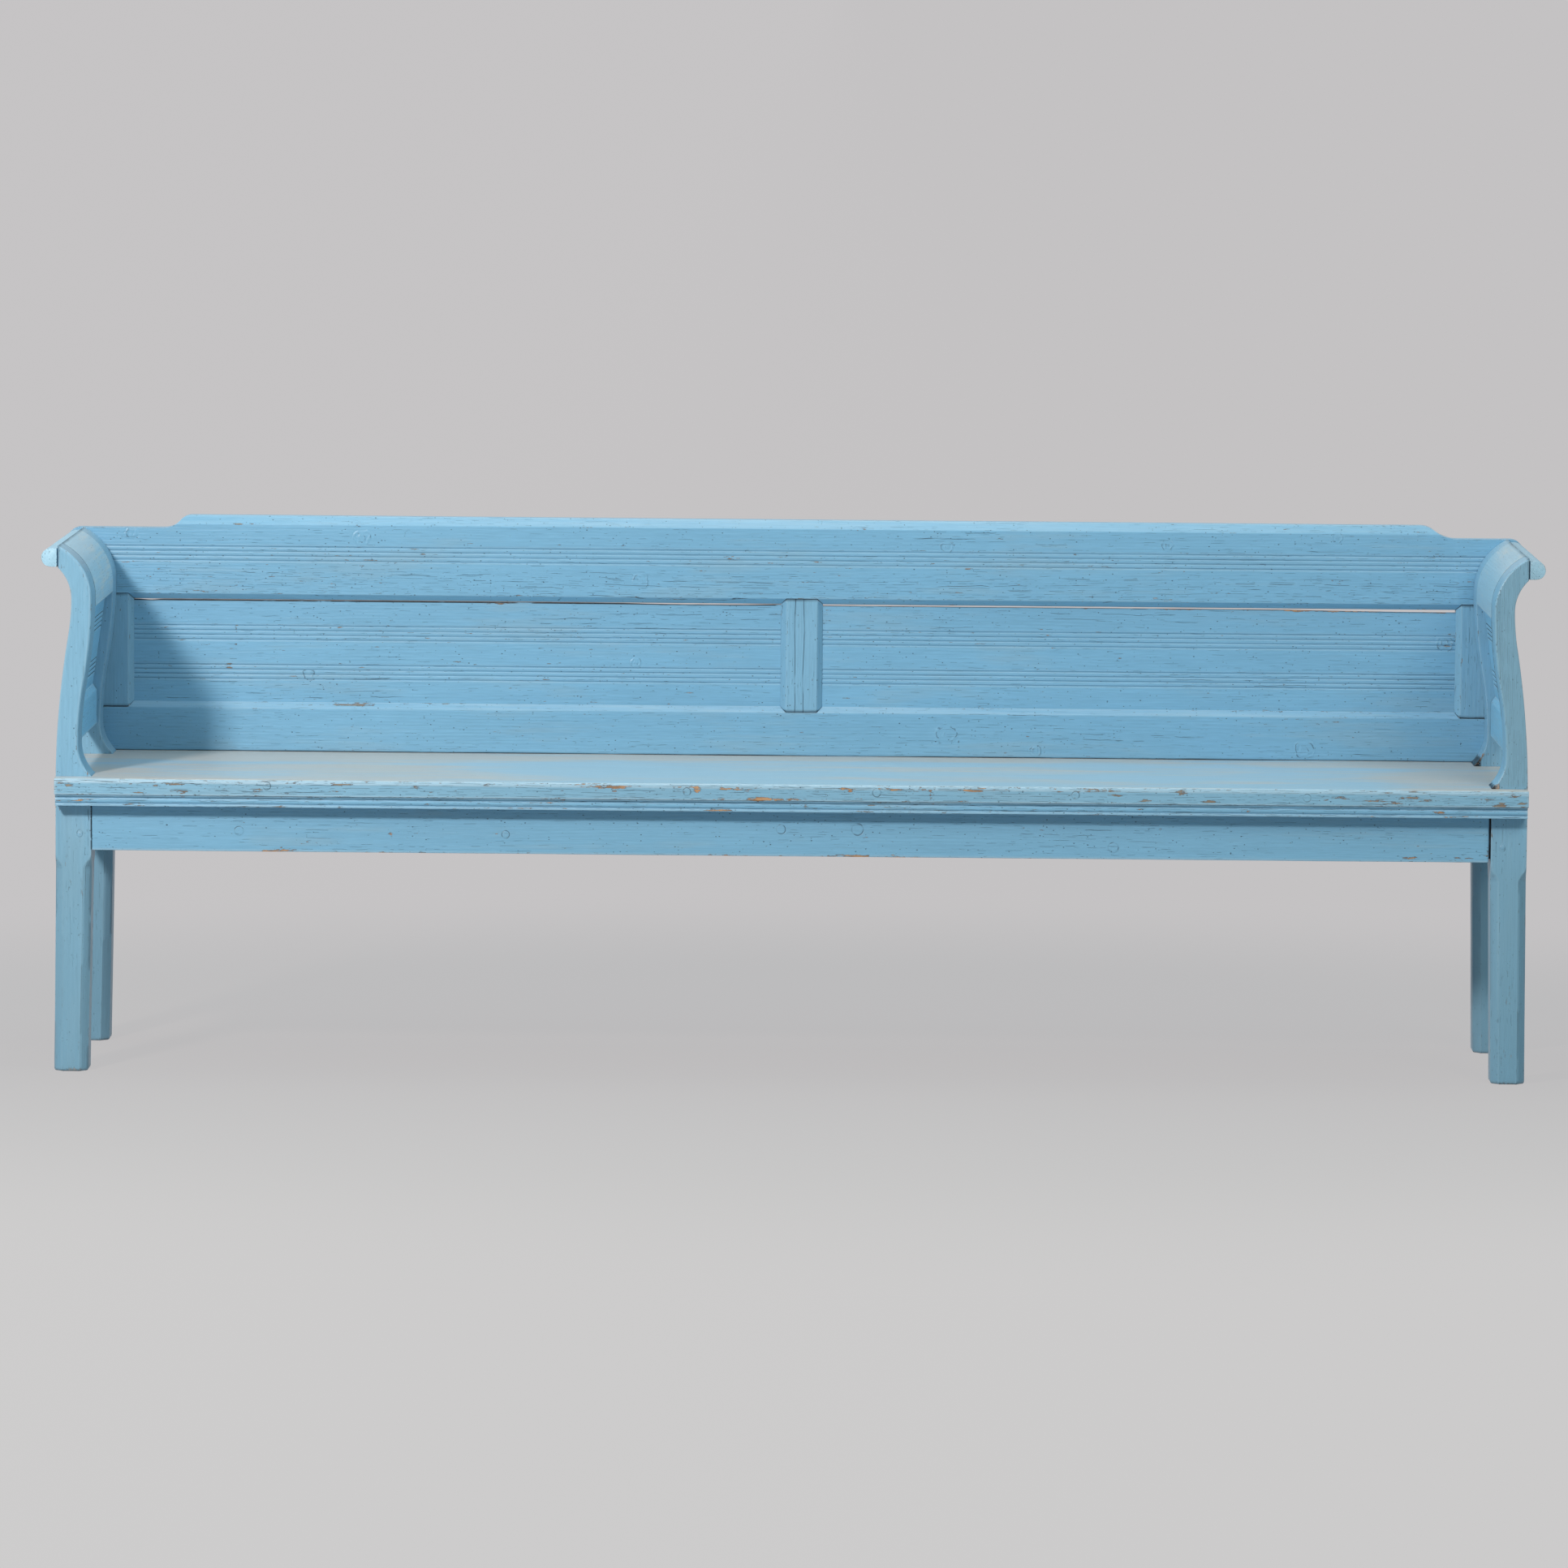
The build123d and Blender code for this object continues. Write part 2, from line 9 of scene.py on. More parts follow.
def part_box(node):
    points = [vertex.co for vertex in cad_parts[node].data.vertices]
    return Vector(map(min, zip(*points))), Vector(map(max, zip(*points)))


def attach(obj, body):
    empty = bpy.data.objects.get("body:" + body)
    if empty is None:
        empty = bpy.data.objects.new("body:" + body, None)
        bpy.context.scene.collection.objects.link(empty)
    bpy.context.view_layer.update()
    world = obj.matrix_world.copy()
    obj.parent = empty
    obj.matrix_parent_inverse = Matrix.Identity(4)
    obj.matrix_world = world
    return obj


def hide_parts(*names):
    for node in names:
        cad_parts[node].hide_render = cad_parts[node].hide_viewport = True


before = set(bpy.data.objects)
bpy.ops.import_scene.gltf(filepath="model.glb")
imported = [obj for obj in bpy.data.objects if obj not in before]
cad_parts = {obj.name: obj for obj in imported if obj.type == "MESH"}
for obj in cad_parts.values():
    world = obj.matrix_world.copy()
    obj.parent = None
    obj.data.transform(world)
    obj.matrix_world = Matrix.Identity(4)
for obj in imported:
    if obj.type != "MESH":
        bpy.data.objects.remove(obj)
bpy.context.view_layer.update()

# ------------------------------------------------------------------ sizes, in millimetres
# X runs along the settle, Y towards its back and Z up, as in the CAD frame.
MM = 0.001
X, Y, Z = 0, 1, 2


def extent(node):
    """Lowest and highest corner of a CAD node, in millimetres."""
    low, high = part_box(node)
    return np.array(low) / MM, np.array(high) / MM


seat_low, seat_high = extent("seat_board")
moulding_low, moulding_high = extent("seat_moulding")
side_apron_low, side_apron_high = extent("side_apron_right")
bearer_low, bearer_high = extent("seat_bearer_right")
leg_low, leg_high = extent("front_leg_right")
rear_leg_low, rear_leg_high = extent("rear_leg_right")
top_rail_low, top_rail_high = extent("back_top_rail")
bottom_rail_high = extent("back_bottom_rail")[1]
muntin_low, muntin_high = extent("back_muntin")
arm_rail_low, arm_rail_high = extent("arm_bottom_rail_right")
arm_top_low = extent("arm_top_right")[0]
arm_panel_low, arm_panel_high = extent("arm_panel_right")
roll_low, roll_high = extent("arm_roll_right")
panel_face = extent("back_panel_right")[0][1]

seat_height, seat_bottom = seat_high[2], seat_low[2]
front_face, front_back = leg_low[1], leg_high[1]
rear_face, back_face = rear_leg_low[1], rear_leg_high[1]
bench_back = top_rail_high[1]

leg_outer, leg_splay = 1136.0, 3.0
leg_inner, leg_taper = 1080.0, 6.0
leg_chamfer, foot_chamfer = 13.0, 4.0
stop_height, stop_length = 339.0, 24.0
apron_bottom, apron_thickness, apron_gap = 345.0, 25.0, 3.0
tenon_thickness, tenon_inset, apron_tenon = 10.0, 5.0, 36.0
heel_height = 440.0
throat_x, throat_height = 1100.5, 508.0
neck_height, neck_inner, neck_outer = 734.0, 1079.5, 1111.5
outer_swing, inner_swing = 0.81, 0.44       # where the two arcs of each ogee meet
scroll_bottom, scroll_top = 781.5, leg_high[2]
scroll_end_x = roll_low[0]
post_edge_chamfer = 3.0
arm_board_thickness, arm_board_relief = 28.0, 2.0
arm_rail_chamfer = 10.0
peg_radius, apron_peg_x, apron_peg_height = 4.2, 1098.0, 369.5

frame_chamfer, frame_chamfer_depth = 9.5, 10.0
opening_half_length = 1052.0
opening_bottom, opening_top = bottom_rail_high[2], top_rail_low[2]
flat_below, flat_above = opening_bottom - frame_chamfer, opening_top + frame_chamfer
stile_outer = bottom_rail_high[0]
muntin_left, muntin_right = muntin_low[0], muntin_high[0]
crest_height, shoulder_height = top_rail_high[2], 815.5
crest_ends, crest_runs, crest_meet = {-1: 961.0, 1: 994.0}, {-1: 44.0, 1: 58.0}, 0.6
crest_chamfer, crest_chamfer_depth = 14.0, 12.0
top_rail_corner, horn_height, horn_cove = 18.0, 732.0, 27.0

groove_width, groove_depth, groove_pitch, grooves_in_band = 3.0, 1.6, 7.4, 4
top_rail_band, panel_bands, arm_panel_bands = 775.4, (648.5, 586.0), (675.5, 602.0)
arm_panel_tilt, arm_panel_thickness = radians(8.1), 12.0
arm_panel_mid_x, arm_panel_mid_z = 1102.0, 638.0

softness = 1.3                 # rounding of ordinary arrises under the paint
end_share = 0.7                # largest rounding of an end, as a share of its smallest corner cut
tight = 0.7                    # rounding beside a joint
board_rows = 5.0               # spacing of the grid along the boards that are seen from the front
plain_rows = 10.0              # and along the hidden ones
wear_reach = 5.0               # how far wear creeps in from an arris
dirt_reach = 0.9               # how far dirt spreads out of a corner
hairline = 0.02                # step between two stations at a sudden change of section
same_point = 0.005             # points closer than this are joined
sharp_edge = radians(50)       # edges that turn more than this are shaded sharp
grain_patterns = 17            # different grain patterns, which boards take in the order of their seeds


# ------------------------------------------------------------------ marks of age, in millimetres
# Places where the paint is rubbed or chipped, under the depth Y of their face: X, Z, half length, half
# height and amount.
rubbed_places = {
    # nosing and moulding
    seat_low[1]: [
        (-1105, 447, 22, 5, .66), (-948, 451, 34, 2.5, .85), (-940, 440, 12, 2, .7),
        (-1010, 438, 9, 2, .8), (-820, 443, 14, 1.5, .75), (-693, 453, 18, 2, .7), (-706, 442, 12, 2, .7),
        (-580, 451, 8, 3, .7), (-280, 454, 34, 2.5, 1.1), (-272, 448, 8, 3, .8), (-143, 450, 6, 7, 1.0),
        (-94, 451, 28, 2, .9), (-101, 437, 12, 2, .9), (-45, 437, 30, 3.5, 1.1), (2, 437, 11, 2.5, .9),
        (80, 454, 7, 3, .8), (56, 440, 7, 3, .7), (91, 450, 6, 4, .7), (160, 453, 22, 2, .7),
        (216, 446, 5, 8, .75), (196, 455, 7, 2, .7), (280, 452, 22, 2, .8), (413, 452, 7, 2, .75),
        (478, 455, 24, 2, 1.0), (503, 447, 12, 2, .6), (544, 440, 10, 4, .75), (600, 452, 6, 4, .85),
        (645, 438, 16, 2.5, .8), (663, 449, 8, 2, .6), (837, 445, 24, 4, .7), (900, 443, 20, 2, .85),
        (919, 453, 7, 3, .8), (925, 439, 18, 1.8, .85), (953, 447, 16, 4, .8), (985, 444, 26, 2.5, .72),
        (1068, 445, 12, 3, .7), (1093, 438, 9, 3.5, .95), (1115, 451, 7, 3, .85), (1124, 440, 7, 4, 1.0),
        (-1101, 426, 22, 3, .75), (-1018, 420, 16, 2, .6), (-105, 419, 18, 2, .9), (110, 419, 20, 2, .7),
        (151, 425, 12, 2, .6), (245, 419, 16, 2, .75), (312, 422, 9, 3, .8), (476, 418, 9, 3, .85),
        (615, 419, 8, 2, .7), (1002, 425, 12, 3.5, 1.1), (700, 424, 10, 2, .5), (-560, 424, 10, 2, .65)
    ],
    # front apron, front posts and feet
    front_face: [
        (-618, 373, 5, 5, .95), (-229, 372, 6, 6, 1.0), (-184, 374, 9, 2, .6), (-86, 346, 34, 2.5, .8),
        (96, 346, 30, 3, .95), (160, 346, 18, 2.5, .9), (-800, 346, 30, 2.5, .6), (570, 392, 4, 4, .8),
        (955, 351, 16, 3, .95), (1035, 351, 22, 3, .6), (1076, 362, 5, 8, .85), (502, 398, 3, 5, .7),
        (-1086, 372, 3, 12, .6), (1084, 462, 7, 4, 2.0), (-1084, 463, 5, 3, .7), (-1110, 1, 26, 4, .85),
        (1112, 1, 20, 3, .8), (-1133, 241, 3, 10, .7), (1105, 40, 6, 12, .55), (1109, 150, 5, 30, .5),
        (-1158, 797, 5, 14, .85), (-1144, 784, 14, 3, .85), (1156, 800, 4, 12, .7),
        (1146, 784, 14, 3, .7), (1134, 812, 6, 3, .7)
    ],
    # chamfer of the lower rail
    back_face + 5: [
        (-696, 535, 75, 4, .9), (-790, 537, 40, 2, .7), (300, 537, 60, 2, .6), (760, 537, 90, 2, .6)
    ],
    # chamfers of both rails
    back_face + 6: [
        (-560, 537, 60, 2, .6), (-900, 827, 40, 1.5, .6)
    ],
    # panels and the edges of their slits
    panel_face: [
        (-889, 652, 4, 11, .75), (-889, 628, 3, 6, .7), (-901, 594, 4, 6, .7), (-901, 568, 5, 4, .75),
        (1040, 646, 12, 12, .55), (-930, 700, 30, 1.4, .9), (-640, 700, 120, 1.4, .62),
        (-500, 699, 80, 1.6, .75), (-330, 700, 60, 1.4, .8), (150, 700, 60, 1.4, .6),
        (400, 700, 90, 1.4, .75), (590, 699, 90, 1.6, .85), (860, 698, 130, 1.8, 1.0),
        (1020, 697, 40, 1.8, .9)
    ],
    # crest
    back_face: [
        (-880, 822, 30, 1.2, .8), (700, 822, 8, 2, .7)
    ],
    # rear posts
    rear_face: [
        (1086, 474, 8, 8, 1.7), (1085, 12, 5, 10, .9), (-1085, 2, 20, 4, .7)
    ],
    # end of the left-hand front foot
    -181.0: [
        (-1118, 0, 40, 5, .8)
    ],
}
worn_places = np.array([(x, y, z, half_length, half_height, amount) for y, places in rubbed_places.items()
                        for x, z, half_length, half_height, amount in places])
worn_depth = 6.0                # how far such a place reaches in Y

# Knots and filled nail holes on the boards that face the front: X, Z, radius, and their kind.
KNOT, HOLE = 1.0, 0.5
mark_reach = 4.0               # how far a mark can show, in its radii
marks = {
    "top_rail": [
        (-1056, 806, 9, KNOT), (-689, 803, 11, KNOT), (-244, 737, 11, KNOT), (241, 795, 9, KNOT),
        (592, 801, 9, KNOT), (861, 815, 8, KNOT)],
    "left_panel": [(-774, 582, 9, KNOT), (-252, 606, 8, KNOT)],
    "right_panel": [(1035, 648, 12, KNOT)],
    "bottom_rail": [(243, 497, 15, KNOT), (386, 472, 8, KNOT), (814, 476, 14, KNOT)],
    "front_apron": [
        (-852, 377, 7, HOLE), (-15, 387, 7, HOLE), (103, 388, 9, HOLE), (498, 363, 8, HOLE),
        (-440, 375, 6, HOLE)],
    "seat": [
        (-807, 450, 6, HOLE), (-160, 447, 6, HOLE), (132, 448, 6.5, HOLE), (438, 447, 6, HOLE),
        (794, 446, 6, HOLE)],
    "post_left": [(-apron_peg_x, 372, 4.4, HOLE)],
    "post_right": [(apron_peg_x, 367, 4.6, HOLE)],
}


# ------------------------------------------------------------------ curves
def arc_x(z, start_x, start_z, end_x, end_z):
    """X on the arc that leaves (start_x, start_z) upright and passes (end_x, end_z).

    Its centre is level with the start, so X is the centre less the root of radius squared minus rise squared.
    """
    run = end_x - start_x
    radius = (run ** 2 + (end_z - start_z) ** 2) / (2 * run)
    rise = np.clip(np.abs(z - start_z), 0, abs(radius))
    return start_x + radius - np.sign(radius) * np.sqrt(radius ** 2 - rise ** 2)


def ogee_x(z, low_x, low_z, high_x, high_z, share):
    """X on two arcs, upright at both ends, that meet at a share of the way along the chord."""
    meet_x = low_x + (high_x - low_x) * share
    meet_z = low_z + (high_z - low_z) * share
    lower = arc_x(z, low_x, low_z, meet_x, meet_z)
    upper = arc_x(z, high_x, high_z, meet_x, meet_z)
    return np.where(z < meet_z, lower, upper)


def inner_x(z):
    """Inner edge of a post up to the neck: tapered leg, throat arc, then an ogee."""
    leg = leg_inner + leg_taper * np.clip(1 - z / apron_bottom, 0, 1)
    throat = arc_x(z, throat_x, throat_height, leg_inner, seat_height)
    rise = ogee_x(z, throat_x, throat_height, neck_inner, neck_height, inner_swing)
    return np.where(z < seat_height, leg, np.where(z < throat_height, throat, rise))


def outer_x(z):
    """Outer edge of a post up to the neck: splayed leg, then an ogee from the heel."""
    leg = leg_outer + leg_splay * np.clip(1 - z / apron_bottom, 0, 1)
    rise = ogee_x(z, leg_outer, heel_height, neck_outer, neck_height, outer_swing)
    return np.where(z < heel_height, leg, rise)


def scroll_arc(start_x, end_z, turn):
    """Points on the scroll's arc from the neck to the roll, by the share of its turn."""
    run, rise = scroll_end_x - start_x, end_z - neck_height
    radius = (run ** 2 + rise ** 2) / (2 * run)
    angle = turn * atan2(rise, radius - run)
    return start_x + radius * (1 - np.cos(angle)), neck_height + radius * np.sin(angle)


# ------------------------------------------------------------------ surfaces
def steps(start, end, spacing, *marked):
    """Rising positions from start to end about a spacing apart, with extra ones at the marks."""
    count = max(2, int(round((end - start) / spacing)) + 1)
    even = np.linspace(start, end, count)
    inside = [mark for mark in marked if start < mark < end]
    apart = [value for value in even[1:-1] if all(abs(value - mark) > spacing / 4 for mark in inside)]
    return np.array(sorted([start, end] + apart + inside))


def drift(points, wave, seed):
    """Smooth noise from -1 to 1: the mean of six sine waves of random heading and phase."""
    rng = np.random.default_rng(seed)
    headings = rng.normal(size=(6, 3))
    headings /= np.linalg.norm(headings, axis=1, keepdims=True)
    lengths = wave * rng.uniform(0.6, 1.8, 6)
    phases = rng.uniform(0, 2 * pi, 6)
    return np.sin(points @ (headings * (2 * pi / lengths)[:, None]).T + phases).mean(axis=-1)


def ring_frame(rings):
    """Outward direction of every point, in the plane of its ring."""
    tangent = np.roll(rings, -1, axis=1) - np.roll(rings, 1, axis=1)
    tangent /= np.maximum(np.linalg.norm(tangent, axis=2, keepdims=True), 1e-9)
    centres = rings.mean(axis=1)
    run = np.gradient(centres, axis=0)
    run /= np.maximum(np.linalg.norm(run, axis=1, keepdims=True), 1e-9)
    outward = np.cross(tangent, run[:, None, :])
    area = ((rings - centres[:, None, :]) * outward).sum(axis=(1, 2))
    return outward * np.sign(area)[:, None, None]


def lofted(corners, cuts, flatness=0.0, seams=(), rows=None, spacing=12.0, corner_rows=4, crease=0.3):
    """Rings of points round a many-sided section, with every corner rounded or chamfered.

    corners is stations x corners x 3.  Each corner is cut back along both its sides by its cut and
    replaced by a mix of a quadratic curve and, by its flatness, the straight line between the cut points.
    Returns the rings, the wear (1 at an outward arris, fading away from it) and the dirt (1 in a seam and
    crease in an inward corner, fading faster).  rows gives the row spacing on the side after a corner.
    """
    stations, count, _ = corners.shape
    cuts = np.broadcast_to(np.asarray(cuts, float), (stations, count))
    flatness = np.broadcast_to(np.asarray(flatness, float), (stations, count))
    side = np.roll(corners, -1, axis=1) - corners
    length = np.linalg.norm(side, axis=2)
    along_side = side / np.maximum(length, 1e-9)[:, :, None]
    before = np.roll(along_side, 1, axis=1)
    cuts = np.minimum(cuts, 0.45 * np.minimum(length, np.roll(length, 1, axis=1)))
    start = corners - before * cuts[:, :, None]
    end = corners + along_side * cuts[:, :, None]
    middle = stations // 2
    spokes = corners[middle] - corners[middle].mean(axis=0)
    normal = np.cross(spokes, np.roll(spokes, -1, axis=0)).sum(axis=0)
    turn = (np.cross(before, along_side) @ (normal / np.linalg.norm(normal))).mean(axis=0)
    worn, dirty = np.clip(turn, 0, 1), crease * np.clip(-turn, 0, 1)
    for k in seams:
        worn[k], dirty[k] = 0.0, 1.0

    points, wear, dirt = [], [], []
    for k in range(count):
        after = (k + 1) % count
        for share in np.linspace(0, 1, corner_rows):
            curve = ((1 - share) ** 2 * start[:, k] + 2 * share * (1 - share) * corners[:, k]
                     + share ** 2 * end[:, k])
            line = start[:, k] * (1 - share) + end[:, k] * share
            points.append(curve + (line - curve) * flatness[:, k, None])
            wear.append(worn[k] * (1 - flatness[:, k] * 0.8 * sin(pi * share)))
            dirt.append(np.full(stations, dirty[k]))
        run = length[:, k].mean()
        inside = max(1, int(run / (rows or {}).get(k, spacing)))
        edge_rows = np.array([0.8, 3.5]) / max(run, 1)
        shares = np.concatenate([edge_rows, np.linspace(0, 1, inside + 2)[1:-1], 1 - edge_rows[::-1]])
        shares = np.unique(np.round(shares[(shares > 0) & (shares < 1)], 4)) if run > 9 else np.array([0.5])
        for share in shares:
            points.append(end[:, k] * (1 - share) + start[:, after] * share)
            near, far = share * length[:, k], (1 - share) * length[:, k]
            for kept, amounts, reach in ((wear, worn, wear_reach), (dirt, dirty, dirt_reach)):
                kept.append(np.maximum(amounts[k] * np.exp(-near / reach),
                                       amounts[after] * np.exp(-far / reach)))
    return np.stack(points, axis=1), np.stack(wear, axis=1), np.stack(dirt, axis=1)


def rounded_ends(rings, wear, dirt, radii, joined, rows=4):
    """The rings with both ends rounded over by their radii; free ends wear and joined ends hold dirt.

    Each end ring gives way to rows on a quarter circle: at an angle, a ring is moved in along the piece
    by radius times one minus the cosine, and inwards in its own plane by radius times one minus the sine.
    """
    outward = ring_frame(rings)
    middles = rings.mean(axis=1)
    parts = []
    for end, beyond, radius in ((0, 1, radii[0]), (-1, -2, radii[1])):
        inward = middles[beyond] - middles[end]
        inward /= np.linalg.norm(inward)
        angles = np.linspace(0, pi / 2, rows)[:, None, None]
        moved = rings[end] + radius * (inward * (1 - np.cos(angles)) - outward[end] * (1 - np.sin(angles)))
        parts.append(moved if end == 0 else moved[::-1])
    distance = np.concatenate([[0], np.cumsum(np.linalg.norm(np.diff(middles, axis=0), axis=1))])
    for far, held in ((distance, joined[0]), (distance[-1] - distance, joined[1])):
        if held:
            dirt = np.maximum(dirt, np.exp(-far / dirt_reach)[:, None])
        else:
            wear = np.maximum(wear, np.exp(-far / wear_reach)[:, None])
    first, last = ([np.repeat(array[[end]], rows, axis=0) for array in (wear, dirt)] for end in (0, -1))
    return (np.concatenate([parts[0], rings[1:-1], parts[1]]),
            np.concatenate([first[0], wear[1:-1], last[0]]),
            np.concatenate([first[1], dirt[1:-1], last[1]]))


def hand_worked(rings, wear, amount, seed, wave=160.0, arris_wave=26.0):
    """The surface as a plane leaves it, with dented arrises: every point sinks by a smooth share."""
    sink = amount * (0.5 + 0.5 * drift(rings, wave, seed))
    sink += 0.6 * amount * wear * (0.5 + 0.5 * drift(rings, arris_wave, seed + 1))
    return rings - ring_frame(rings) * sink[:, :, None]


def rubbed(points):
    """How far the paint is rubbed at points: the largest of the worn places' bell-shaped amounts."""
    most = np.zeros(len(points))
    for *centre, half_length, half_height, amount in worn_places:
        apart = (points - centre) / (half_length, worn_depth, half_height)
        most = np.maximum(most, amount * np.exp(-(apart ** 2).sum(axis=1)))
    return most


def nearest_mark(points, places):
    """Offset from the nearest mark in its radii along X and Z, and its kind where it is near."""
    offset = np.zeros((len(points), 3))
    best = np.full(len(points), np.inf)
    for x, z, radius, kind in places:
        across, up = (points[:, 0] - x) / radius, (points[:, 2] - z) / radius
        away = np.hypot(across, up) * radius
        closer = away < best
        shown = np.where(np.hypot(across, up) < mark_reach, kind, 0.0)
        offset[closer] = np.stack([across, up, shown], axis=1)[closer]
        best = np.minimum(best, away)
    return offset


def skin(name, parts, nodes, material, seed=1, places=()):
    """Closed pieces in one mesh: rings joined by quads and a cap on each end, kept inside the nodes' box.

    Wear, dirt, rubbing, the offset from a mark and the number of the board are kept as face-corner
    attributes.  The caps carry no wear, so that end grain stays painted.
    """
    points, faces, values = [], [], []
    base = 0
    for rings, wear, dirt in parts:
        stations, around, _ = rings.shape
        index = np.arange(stations * around).reshape(stations, around)
        onward = np.roll(index, -1, axis=1)
        quads = np.stack([index[:-1], onward[:-1], onward[1:], index[1:]], axis=-1).reshape(-1, 4)
        flat = rings.reshape(-1, 3)
        a, b, c, d = (flat[quads[:, k]] - flat.mean(axis=0) for k in range(4))
        inside_out = (np.cross(a, b) * c).sum() + (np.cross(a, c) * d).sum() < 0
        caps = [index[0][::-1], index[-1]]
        if inside_out:
            quads, caps = quads[:, ::-1], [cap[::-1] for cap in caps]
        per_point = np.column_stack([wear.reshape(-1), dirt.reshape(-1), rubbed(flat)])
        values += [per_point[quads.reshape(-1)], np.zeros((2 * around, 3))]
        points.append(flat)
        faces += (quads + base).tolist() + [(cap + base).tolist() for cap in caps]
        base += len(flat)
    low, high = np.array([extent(node) for node in nodes]).transpose(1, 0, 2)
    points = np.clip(np.concatenate(points), low.min(axis=0), high.max(axis=0))
    values = np.concatenate(values)
    mesh = bpy.data.meshes.new(name)
    mesh.from_pydata((points * MM).tolist(), [], faces)
    for column, label in enumerate(("wear", "dirt", "rubbed")):
        layer = mesh.attributes.new(label, "FLOAT", "CORNER")
        layer.data.foreach_set("value", values[:, column].astype(np.float32))
    if places:
        layer = mesh.attributes.new("mark", "FLOAT_VECTOR", "POINT")
        layer.data.foreach_set("vector", nearest_mark(points, places).astype(np.float32).ravel())
    layer = mesh.attributes.new("board", "FLOAT", "POINT")
    layer.data.foreach_set("value", np.full(len(points), seed % grain_patterns, np.float32))
    work = bmesh.new()
    work.from_mesh(mesh)
    bmesh.ops.remove_doubles(work, verts=work.verts, dist=same_point * MM)
    work.to_mesh(mesh)
    work.free()
    mesh.materials.append(material)
    mesh.polygons.foreach_set("use_smooth", np.ones(len(mesh.polygons), bool))
    mesh.set_sharp_from_angle(angle=sharp_edge)
    mesh.validate()
    piece = bpy.data.objects.new(name, mesh)
    bpy.context.scene.collection.objects.link(piece)
    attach(piece, "root")
    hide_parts(*nodes)
    return piece


def plank(name, corners, cuts, material, node, flatness=0.0, ends=(softness, softness), joined=(True, True),
          seed=1, slot="blue_paint", amount=0.35, places=(), bend=None, buried=None, **rows):
    """A piece from its corners at every station: rounded, bent if need be, worked by hand and skinned.

    An end's rounding stays below the cuts of its corners, so that its outline never crosses itself.  Beyond
    the two ends buried, in X, the piece is a tenon, black with dirt where a gap shows it.
    """
    smallest_cut = np.broadcast_to(cuts, corners.shape[:2]).min(axis=1)
    ends = [min(radius, end_share * smallest_cut[end]) for radius, end in zip(ends, (0, -1))]
    rings, wear, dirt = lofted(corners, cuts, flatness, **rows)
    if bend:
        rings = bend(rings)
    rings, wear, dirt = rounded_ends(rings, wear, dirt, ends, joined)
    if amount:
        rings = hand_worked(rings, wear, amount, seed)
    if buried:
        along_x = rings[..., X]
        dirt = np.maximum(dirt, np.clip(np.maximum(buried[0] - along_x, along_x - buried[1]), 0, 1) * 3)
    return skin(name, [(rings, wear, dirt)], (node,), material, seed, places)


def along(axis, positions, section):
    """Corners in space of a section carried along an axis.

    section is corners x 2, or stations x corners x 2 where it changes, in the other two axes in order.
    """
    outline = np.asarray(section, float)
    if outline.ndim == 2:
        outline = np.broadcast_to(outline, (len(positions),) + outline.shape)
    corners = np.insert(outline, axis, 0.0, axis=2)
    corners[:, :, axis] = positions[:, None]
    return corners


def stacked(*points):
    """Stations x corners x 2 from (u, v) pairs of numbers or of arrays over the stations."""
    pairs = [np.broadcast_arrays(np.asarray(u, float), np.asarray(v, float)) for u, v in points]
    stations = max(np.size(u) for u, _ in pairs)
    return np.stack([np.stack([np.broadcast_to(u, stations), np.broadcast_to(v, stations)], axis=-1)
                     for u, v in pairs], axis=1)


def rectangle(low_u, high_u, low_v, high_v):
    """Four corners of a rectangle."""
    return [(low_u, low_v), (high_u, low_v), (high_u, high_v), (low_u, high_v)]


def band(middle):
    """Heights of the grooves in one band, from the top down."""
    return [middle + groove_pitch * (k - (grooves_in_band - 1) / 2) for k in range(grooves_in_band)][::-1]


def grooved(heights, face):
    """Corners of V grooves in an upright face, from the top down, as (depth axis, height)."""
    return [corner for height in heights
            for corner in ((face, height + groove_width / 2), (face + groove_depth, height),
                           (face, height - groove_width / 2))]


def shouldered(axis, start, end, reach, spacing, full, tenon):
    """Corners of a board with square shoulders and a tenon beyond each, its edges eased at the shoulders.

    full and tenon are (low u, high u, low v, high v).  Near a shoulder the section shrinks by softness less
    the root of softness squared minus the missing distance squared.
    """
    easing = [softness * share for share in (0.0, 0.1, 0.35, 1.0)]
    marked = [place for into in easing for place in (start + into, end - into)]
    positions = steps(start - reach, end + reach, spacing, start - hairline, *marked, end + hairline)
    inside = (positions >= start) & (positions <= end)
    near = np.clip(np.minimum(positions - start, end - positions), 0, softness)
    inset = softness - np.sqrt(softness ** 2 - (softness - near) ** 2)
    sides = [np.where(inside, full[k] + (1 - 2 * (k % 2)) * inset, tenon[k]) for k in range(4)]
    return along(axis, positions, stacked(*rectangle(*sides)))


def board_between(inner_edge, outer_edge, front, back, flip):
    """Corners of an upright board between two edges, each given by its X and its Z at every station."""
    edges = (inner_edge, front), (outer_edge, front), (outer_edge, back), (inner_edge, back)
    return np.array([[(x * flip, y, z) for x, z in zip(*edge)] for edge, y in edges]).transpose(1, 0, 2)


def both(build):
    """Builds a piece at the right end and its mirror image at the left end."""
    for side, flip in (("right", 1), ("left", -1)):
        build(side, flip)


